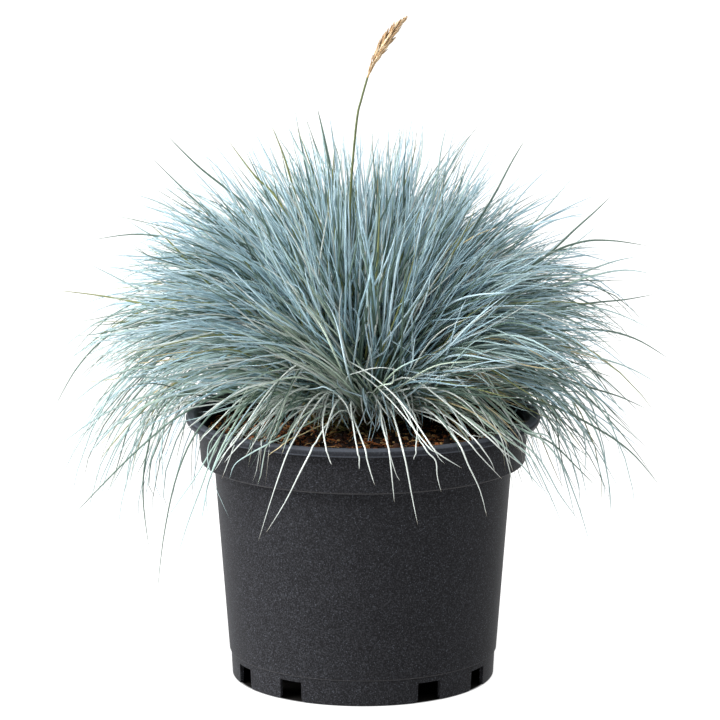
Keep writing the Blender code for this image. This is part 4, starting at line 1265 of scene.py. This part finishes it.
leaves_from("sheaf_leaves", routes, rng.uniform(0.0006, 0.00082, SHEAF_LEAVES), kinds, rng, sides=4)


# Dry leaves. Dead straw-coloured leaves lie deep among the green ones on the right and show between them.
# They have shrunk thinner than the living ones, and still hold to the crown.

rng = np.random.default_rng(38)
DRY_LEAVES = 60
DRY_TURN = -20  # degrees round from the right side of the pot
turn = np.radians(rng.normal(DRY_TURN, 9, DRY_LEAVES))
lean = np.radians(rng.uniform(70, 90, DRY_LEAVES))
reach = LEAF_REACH * rng.uniform(0.34, 0.56, DRY_LEAVES)
curl = rng.normal(1.0, 0.4, DRY_LEAVES)
curves = clear_of_lip(arcs(lean, turn, reach, curl, rng.normal(0, 0.08, DRY_LEAVES)))
routes = leaf_routes(curves, 12, rng, 0.003, 0.001)
kinds = np.full(DRY_LEAVES, STRAW)
leaves_from("dry_leaves", routes, rng.uniform(0.0004, 0.0006, DRY_LEAVES), kinds, rng)


# Curled leaves. Short leaves, most of them bleached, rise from the front of the crown and curl over towards
# the soil. They grow from the crown like the others.

rng = np.random.default_rng(37)
CURLED_LEAVES = 95
turn = FRONT + rng.uniform(-1.25, 1.25, CURLED_LEAVES)
foot_spread = rng.uniform(0.010, BASE_SPREAD, CURLED_LEAVES)
base = radial(turn + rng.normal(0, 0.3, CURLED_LEAVES), foot_spread, crown_height(foot_spread) - ROOTED)
out = rng.uniform(0.018, 0.048, CURLED_LEAVES)
tip = radial(turn, foot_spread + out, rng.uniform(0.139, 0.150, CURLED_LEAVES))
rise = rng.uniform(0.012, 0.038, CURLED_LEAVES)
first = base + radial(turn, 0.25 * out, rise)
last = base + radial(turn, 0.95 * out, rise * rng.uniform(0.5, 0.9, CURLED_LEAVES))
kinds = drawn_kinds(CURLED_LEAVES, {SILVER: 6, PALE: 3, GREEN: 2, STRAW: 0.5}, rng)
routes = leaf_routes((base, first, last, tip), 14, rng, 0.002, 0.001)
leaves_from("curled_leaves", routes, rng.uniform(0.0005, 0.00076, CURLED_LEAVES), kinds, rng, sides=5)


# Bent leaves. In the middle, short leaves have been knocked over: each stands up from the crown, then
# breaks to one side. Most of them are pale or bleached.

rng = np.random.default_rng(35)
BENT_LEAVES = 110
turn = rng.uniform(0, math.tau, BENT_LEAVES)
spread = BASE_SPREAD * np.sqrt(rng.uniform(0.05, 1, BENT_LEAVES))
base = radial(turn, spread, crown_height(spread) - ROOTED)
slope = math.pi / 2 - 0.9 * spread / BASE_SPREAD + rng.normal(0, 0.15, BENT_LEAVES)
heading = turn + rng.normal(0, 0.6, BENT_LEAVES)
height = rng.uniform(0.018, 0.062, BENT_LEAVES)
bend = base + radial(heading, height * np.cos(slope), height * np.sin(slope))
side_turn = rng.uniform(0, math.tau, BENT_LEAVES)
fall = rng.uniform(-1.2, 0.7, BENT_LEAVES)
rest = rng.uniform(0.004, 0.020, BENT_LEAVES)
tip = bend + radial(side_turn, rest * np.cos(fall), rest * np.sin(fall))
shares = np.array([0, 0.3, 0.6, 0.85, 0.97, 1.0, 1.03, 1.15, 1.45, 1.75, 2.0])
stand, lie = shares.clip(0, 1)[None, :, None], (shares - 1).clip(0, 1)[None, :, None]
routes = base[:, None] + (bend - base)[:, None] * stand + (tip - bend)[:, None] * lie
routes += rng.normal(0, 0.0016, (BENT_LEAVES, 1, 3)) * np.sin(stand * math.pi)
routes += np.array([0, 0, -0.0020]) * lie**2
kinds = drawn_kinds(BENT_LEAVES, {SILVER: 4, PALE: 5, GREEN: 3, STRAW: 1}, rng)
leaves_from("bent_leaves", routes, rng.uniform(0.0005, 0.00075, BENT_LEAVES), kinds, rng)


# Flower stem. One thin culm, olive green and yellower below, grows from the crown, leans to the front and
# bows under its head.

STEM_RADIUS = 0.00066
STEM_RINGS = 48
STEM_SIDES = 10
HEAD_ROUTE = (
    (0.0023, -0.0350, 0.3272),
    (0.0047, -0.0351, 0.3335),
    (0.0083, -0.0352, 0.3404),
    (0.0124, -0.0353, 0.3467),
    (0.0170, -0.0354, 0.3530),
    (0.0228, -0.0355, 0.3586),
)


def stem_finish():
    material, dye = new_finish("olive_stem", 0.45, 0.4)
    where = dye.node("TexCoord", {}, {}, "Object")
    height = where.part("Z")
    streak = where.noise(260.0, 3.0)
    green = (streak.fade(0.35, 0.65) * 0.6).blend(rgb(80, 90, 52), rgb(104, 112, 68))
    yellow = (streak.fade(0.35, 0.65) * 0.6).blend(rgb(136, 134, 74), rgb(112, 116, 62))
    paint(material, colour=height.fade(0.20, 0.285).blend(yellow, green))
    return material


def tube(name, route, radii, sides, finish):
    """A round tube along the points, closed at both ends."""
    along = np.gradient(route, axis=0)
    along /= np.linalg.norm(along, axis=1, keepdims=True)
    side = np.cross(along, (0, 1, 0))
    side /= np.linalg.norm(side, axis=1, keepdims=True)
    depth = np.cross(along, side)
    angle = np.arange(sides) * math.tau / sides
    ring = np.cos(angle)[None, :, None] * side[:, None] + np.sin(angle)[None, :, None] * depth[:, None]
    verts = (route[:, None] + radii[:, None, None] * ring).reshape(-1, 3)
    faces = []
    for low in range(len(route) - 1):
        for number in range(sides):
            onward = (number + 1) % sides
            start = low * sides
            faces.append((start + number, start + onward, start + sides + onward, start + sides + number))
    faces.append(tuple(range(sides))[::-1])
    faces.append(tuple(range((len(route) - 1) * sides, len(route) * sides)))
    mesh = bpy.data.meshes.new(name)
    mesh.from_pydata(verts.tolist(), [], faces)
    mesh.shade_smooth()
    mesh.materials.append(finish)
    piece = placed(name, mesh)
    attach(piece, "root")
    return piece


stem_points = smooth_route(STEM_ROUTE + HEAD_ROUTE[:1], STEM_RINGS)
stem_radii = STEM_RADIUS * np.linspace(1.08, 0.86, STEM_RINGS + 1)
stem = tube("stem", stem_points, stem_radii, STEM_SIDES, stem_finish())
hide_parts("flower_stem")


# Flower head. A narrow panicle, ripe and dry: spikelets lie close along the bowed axis, each of two rows of
# pointed scales, brown with papery cream margins.

SPIKELETS = 60
SCALES_EACH = 6
SCALE_LENGTH = 0.0056
SCALE_WIDTH = 0.00058
SCALE_SIDES = 6
HEAD_TOP = 0.93  # share of the axis that carries spikelets
HEAD_SHARES = (0.0, 0.15, 0.3, 0.45, 0.7, HEAD_TOP)
HEAD_SIZES = (0.36, 0.72, 1.02, 1.12, 0.92, 0.42)  # how large a spikelet is at each of these shares
HEAD_LEANS = (0.10, 0.22, 0.34, 0.32, 0.24, 0.10)  # and how far it leans out
SCALE_FLATNESS = 0.55
SCALE_TIP = 1.12
SCALE_PROFILE = ((0.0, 0.25), (0.12, 0.7), (0.32, 1.0), (0.55, 0.85), (0.78, 0.42), (0.92, 0.12))
SCALE_SHADES = (rgb(216, 194, 160), rgb(194, 163, 124), rgb(170, 136, 96), rgb(136, 102, 68))  # palest first
DARKNESS = (-0.3, 0.2, 0.9)  # a scale turned away from the light by more than these takes the next shade
HEAD_RINGS = 80


def scale_finish():
    material, dye = new_finish("ripe_scales", 0.6, 0.3)
    shade, tint = striped(dye, SCALE_SHADES)
    strip = on_strip(dye)
    across, along = strip.part("X"), strip.part("Y")
    round_it = (dye.sum("FRACT", across * STRIPS) - 0.2) / 0.3
    margin = dye.sum("ABSOLUTE", dye.sum("FRACT", round_it) - 0.5).fade(0.26, 0.44)
    papery = (margin * 0.4).blend(shade, rgb(232, 214, 184))
    strength = grey(dye, 0.68 + tint * 0.34 + along * 0.15)
    paint(material, colour=toned(dye, papery, strength))
    return material


rng = np.random.default_rng(61)
axis = smooth_route(HEAD_ROUTE, HEAD_RINGS)
axis_along = np.gradient(axis, axis=0)
axis_along /= np.linalg.norm(axis_along, axis=1, keepdims=True)
heads = []
for number in range(SPIKELETS):
    share = HEAD_TOP * number / (SPIKELETS - 1)
    place = int(share * HEAD_RINGS)
    along = axis_along[place]
    side = np.cross(along, (0, 1, 0))
    side /= np.linalg.norm(side)
    depth = np.cross(along, side)
    turn = math.pi * number + math.pi / 2 * (number // 2 % 2) + rng.normal(0, 0.45)
    out = math.cos(turn) * side + math.sin(turn) * depth
    size = np.interp(share, HEAD_SHARES, HEAD_SIZES)
    across = np.cross(along, out)
    lean = np.interp(share, HEAD_SHARES, HEAD_LEANS) * rng.uniform(0.7, 1.2)
    rachilla = math.cos(lean) * along + math.sin(lean) * out
    start = axis[place] + out * 0.0006 * size
    for scale in range(SCALES_EACH):
        hand = 1 if scale % 2 else -1
        direction = rachilla + (0.13 * hand + rng.normal(0, 0.03)) * across + rng.normal(0, 0.04) * out
        direction /= np.linalg.norm(direction)
        foot = start + rachilla * SCALE_LENGTH * size * 0.15 * scale + across * hand * 0.0004 * size
        lit = -(side @ out) * 0.5 + 0.3 * hand * (across @ side) + rng.normal(0, 0.45)
        kind = int(np.searchsorted(DARKNESS, -lit))
        heads.append((foot, direction, out, across, size * (1 - 0.06 * scale), kind))

scale_verts, scale_loops, scale_sizes, scale_uv = [], [], [], []
for start, direction, out, across, size, kind in heads:
    first_vert = len(scale_verts)
    strip = kind * STRIPS // len(SCALE_SHADES) + rng.integers(0, STRIPS // len(SCALE_SHADES))
    length = SCALE_LENGTH * size * rng.uniform(0.9, 1.15)
    for station, fullness in SCALE_PROFILE:
        for number in range(SCALE_SIDES):
            angle = math.tau * number / SCALE_SIDES
            offset = math.cos(angle) * across + SCALE_FLATNESS * math.sin(angle) * out
            scale_verts.append(start + direction * length * station + offset * SCALE_WIDTH * size * fullness)
    scale_verts.append(start + direction * length * SCALE_TIP)
    rows = len(SCALE_PROFILE)
    for row in range(rows - 1):
        for number in range(SCALE_SIDES):
            onward = (number + 1) % SCALE_SIDES
            low, high = first_vert + row * SCALE_SIDES, first_vert + (row + 1) * SCALE_SIDES
            scale_loops += [low + number, low + onward, high + onward, high + number]
            scale_sizes.append(4)
            left, right = (strip + 0.2 + 0.1 * number) / STRIPS, (strip + 0.3 + 0.1 * number) / STRIPS
            down, up = row / rows, (row + 1) / rows
            scale_uv += [(left, down), (right, down), (right, up), (left, up)]
    high = first_vert + (rows - 1) * SCALE_SIDES
    for number in range(SCALE_SIDES):
        onward = (number + 1) % SCALE_SIDES
        scale_loops += [high + number, high + onward, first_vert + rows * SCALE_SIDES]
        scale_sizes.append(3)
        u = strip + 0.2 + 0.1 * number
        scale_uv += [(u / STRIPS, 0.85), ((u + 0.1) / STRIPS, 0.85), ((u + 0.05) / STRIPS, 0.99)]
    scale_sizes.append(SCALE_SIDES)
    for number in reversed(range(SCALE_SIDES)):
        scale_loops.append(first_vert + number)
        scale_uv.append(((strip + 0.2 + 0.1 * number) / STRIPS, 0.02 * (number % 2)))
head = joined(
    "spikelets",
    np.array(scale_verts),
    np.array(scale_loops),
    np.array(scale_sizes),
    np.array(scale_uv),
    scale_finish(),
)
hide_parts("flower_head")
axis_radii = STEM_RADIUS * np.linspace(0.85, 0.3, HEAD_RINGS + 1)
axis_finish, _ = new_finish("dry_axis", 0.6, 0.3)
axis_finish.node_tree.nodes["Principled BSDF"].inputs["Base Color"].default_value = (*rgb(176, 146, 96), 1.0)
tube("head_axis", axis, axis_radii, STEM_SIDES, axis_finish)


# Studio. A plain white sweep of floor, painted dark under the pot as its shadow, a white surround and large
# soft lights: the key is above the left shoulder of the camera.

CAMERA_PLACE = (-0.0016, -2.0, 0.5638)  # in metres
LENS = 190.86
SENSOR = 36.0
FLOOR_SIZE = 80.0
FLOOR_GLOW = 0.9  # light of the floor's own, which keeps it as white as the photo's
LIGHTS = (  # name, place, strength and softness
    ("key", (-0.95, -0.28, 0.75), 4.6, 50),
    ("window", (-1.0, -0.12, 0.12), 4.7, 40),
    ("top", (0.1, -0.45, 1.0), 1.5, 70),
    ("back", (0.6, 0.3, 1.0), 1.8, 60),
)


def soft_light(name, place, strength, softness):
    """A broad light from far off towards place, as strong all over the studio. Softness is in degrees."""
    data = bpy.data.lights.new(name, "SUN")
    data.energy = strength
    data.angle = math.radians(softness)
    light = placed(name, data)
    light.location = place
    light.rotation_euler = (-Vector(place)).to_track_quat("-Z", "Y").to_euler()


floor_mesh = bpy.data.meshes.new("floor")
half = FLOOR_SIZE / 2
floor_corners = [(-half, -half, 0), (half, -half, 0), (half, half, 0), (-half, half, 0)]
floor_mesh.from_pydata(floor_corners, [], [(0, 1, 2, 3)])
floor = placed("floor", floor_mesh)
floor_paint, floor_dye = new_finish("white_floor", 0.9, 0.0)
floor_grain = floor_dye.node("TexNoise", {}, {"Scale": 3.0})
floor_place = floor_dye.node("TexCoord", {}, {}, "Object")
from_axis = floor_dye.node("VectorMath", {"operation": "LENGTH"}, {0: floor_place}, "Value")
# Painted shadow: under the pot the floor is dark and gives no glow.
outside_painted_shadow = from_axis.fade(FOOT_RADIUS - WALL, FOOT_RADIUS + 0.0005)
glow = grey(floor_dye, outside_painted_shadow)
pale = floor_grain.blend(rgb(124, 124, 124), rgb(127, 127, 127))
paint(floor_paint, colour=outside_painted_shadow.blend(rgb(28, 27, 26), pale))
floor_shader = floor_paint.node_tree.nodes["Principled BSDF"]
floor_paint.node_tree.links.new(glow.socket, floor_shader.inputs["Emission Color"])
floor_shader.inputs["Emission Strength"].default_value = FLOOR_GLOW
floor_mesh.materials.append(floor_paint)

for light in LIGHTS:
    soft_light(*light)

world = bpy.data.worlds.new("white_surround")
bpy.context.scene.world = world
world.use_nodes = True
surround = Dye(world.node_tree)
above = surround.node("TexCoord", {}, {}, "Generated").part("Z")
background = world.node_tree.nodes["Background"]
brightness = grey(surround, 1.0 - above.fade(0.08, 0.16) * 0.96)
world.node_tree.links.new(brightness.socket, background.inputs["Color"])
background.inputs["Strength"].default_value = 1.0
bpy.context.scene.view_settings.view_transform = "Standard"

camera_data = bpy.data.cameras.new("camera")
camera_data.lens = LENS
camera_data.sensor_width = SENSOR
camera = placed("camera", camera_data)
camera.location = CAMERA_PLACE
camera.rotation_euler = (math.radians(90 - CAMERA_PITCH), 0.0, 0.0)
bpy.context.scene.camera = camera
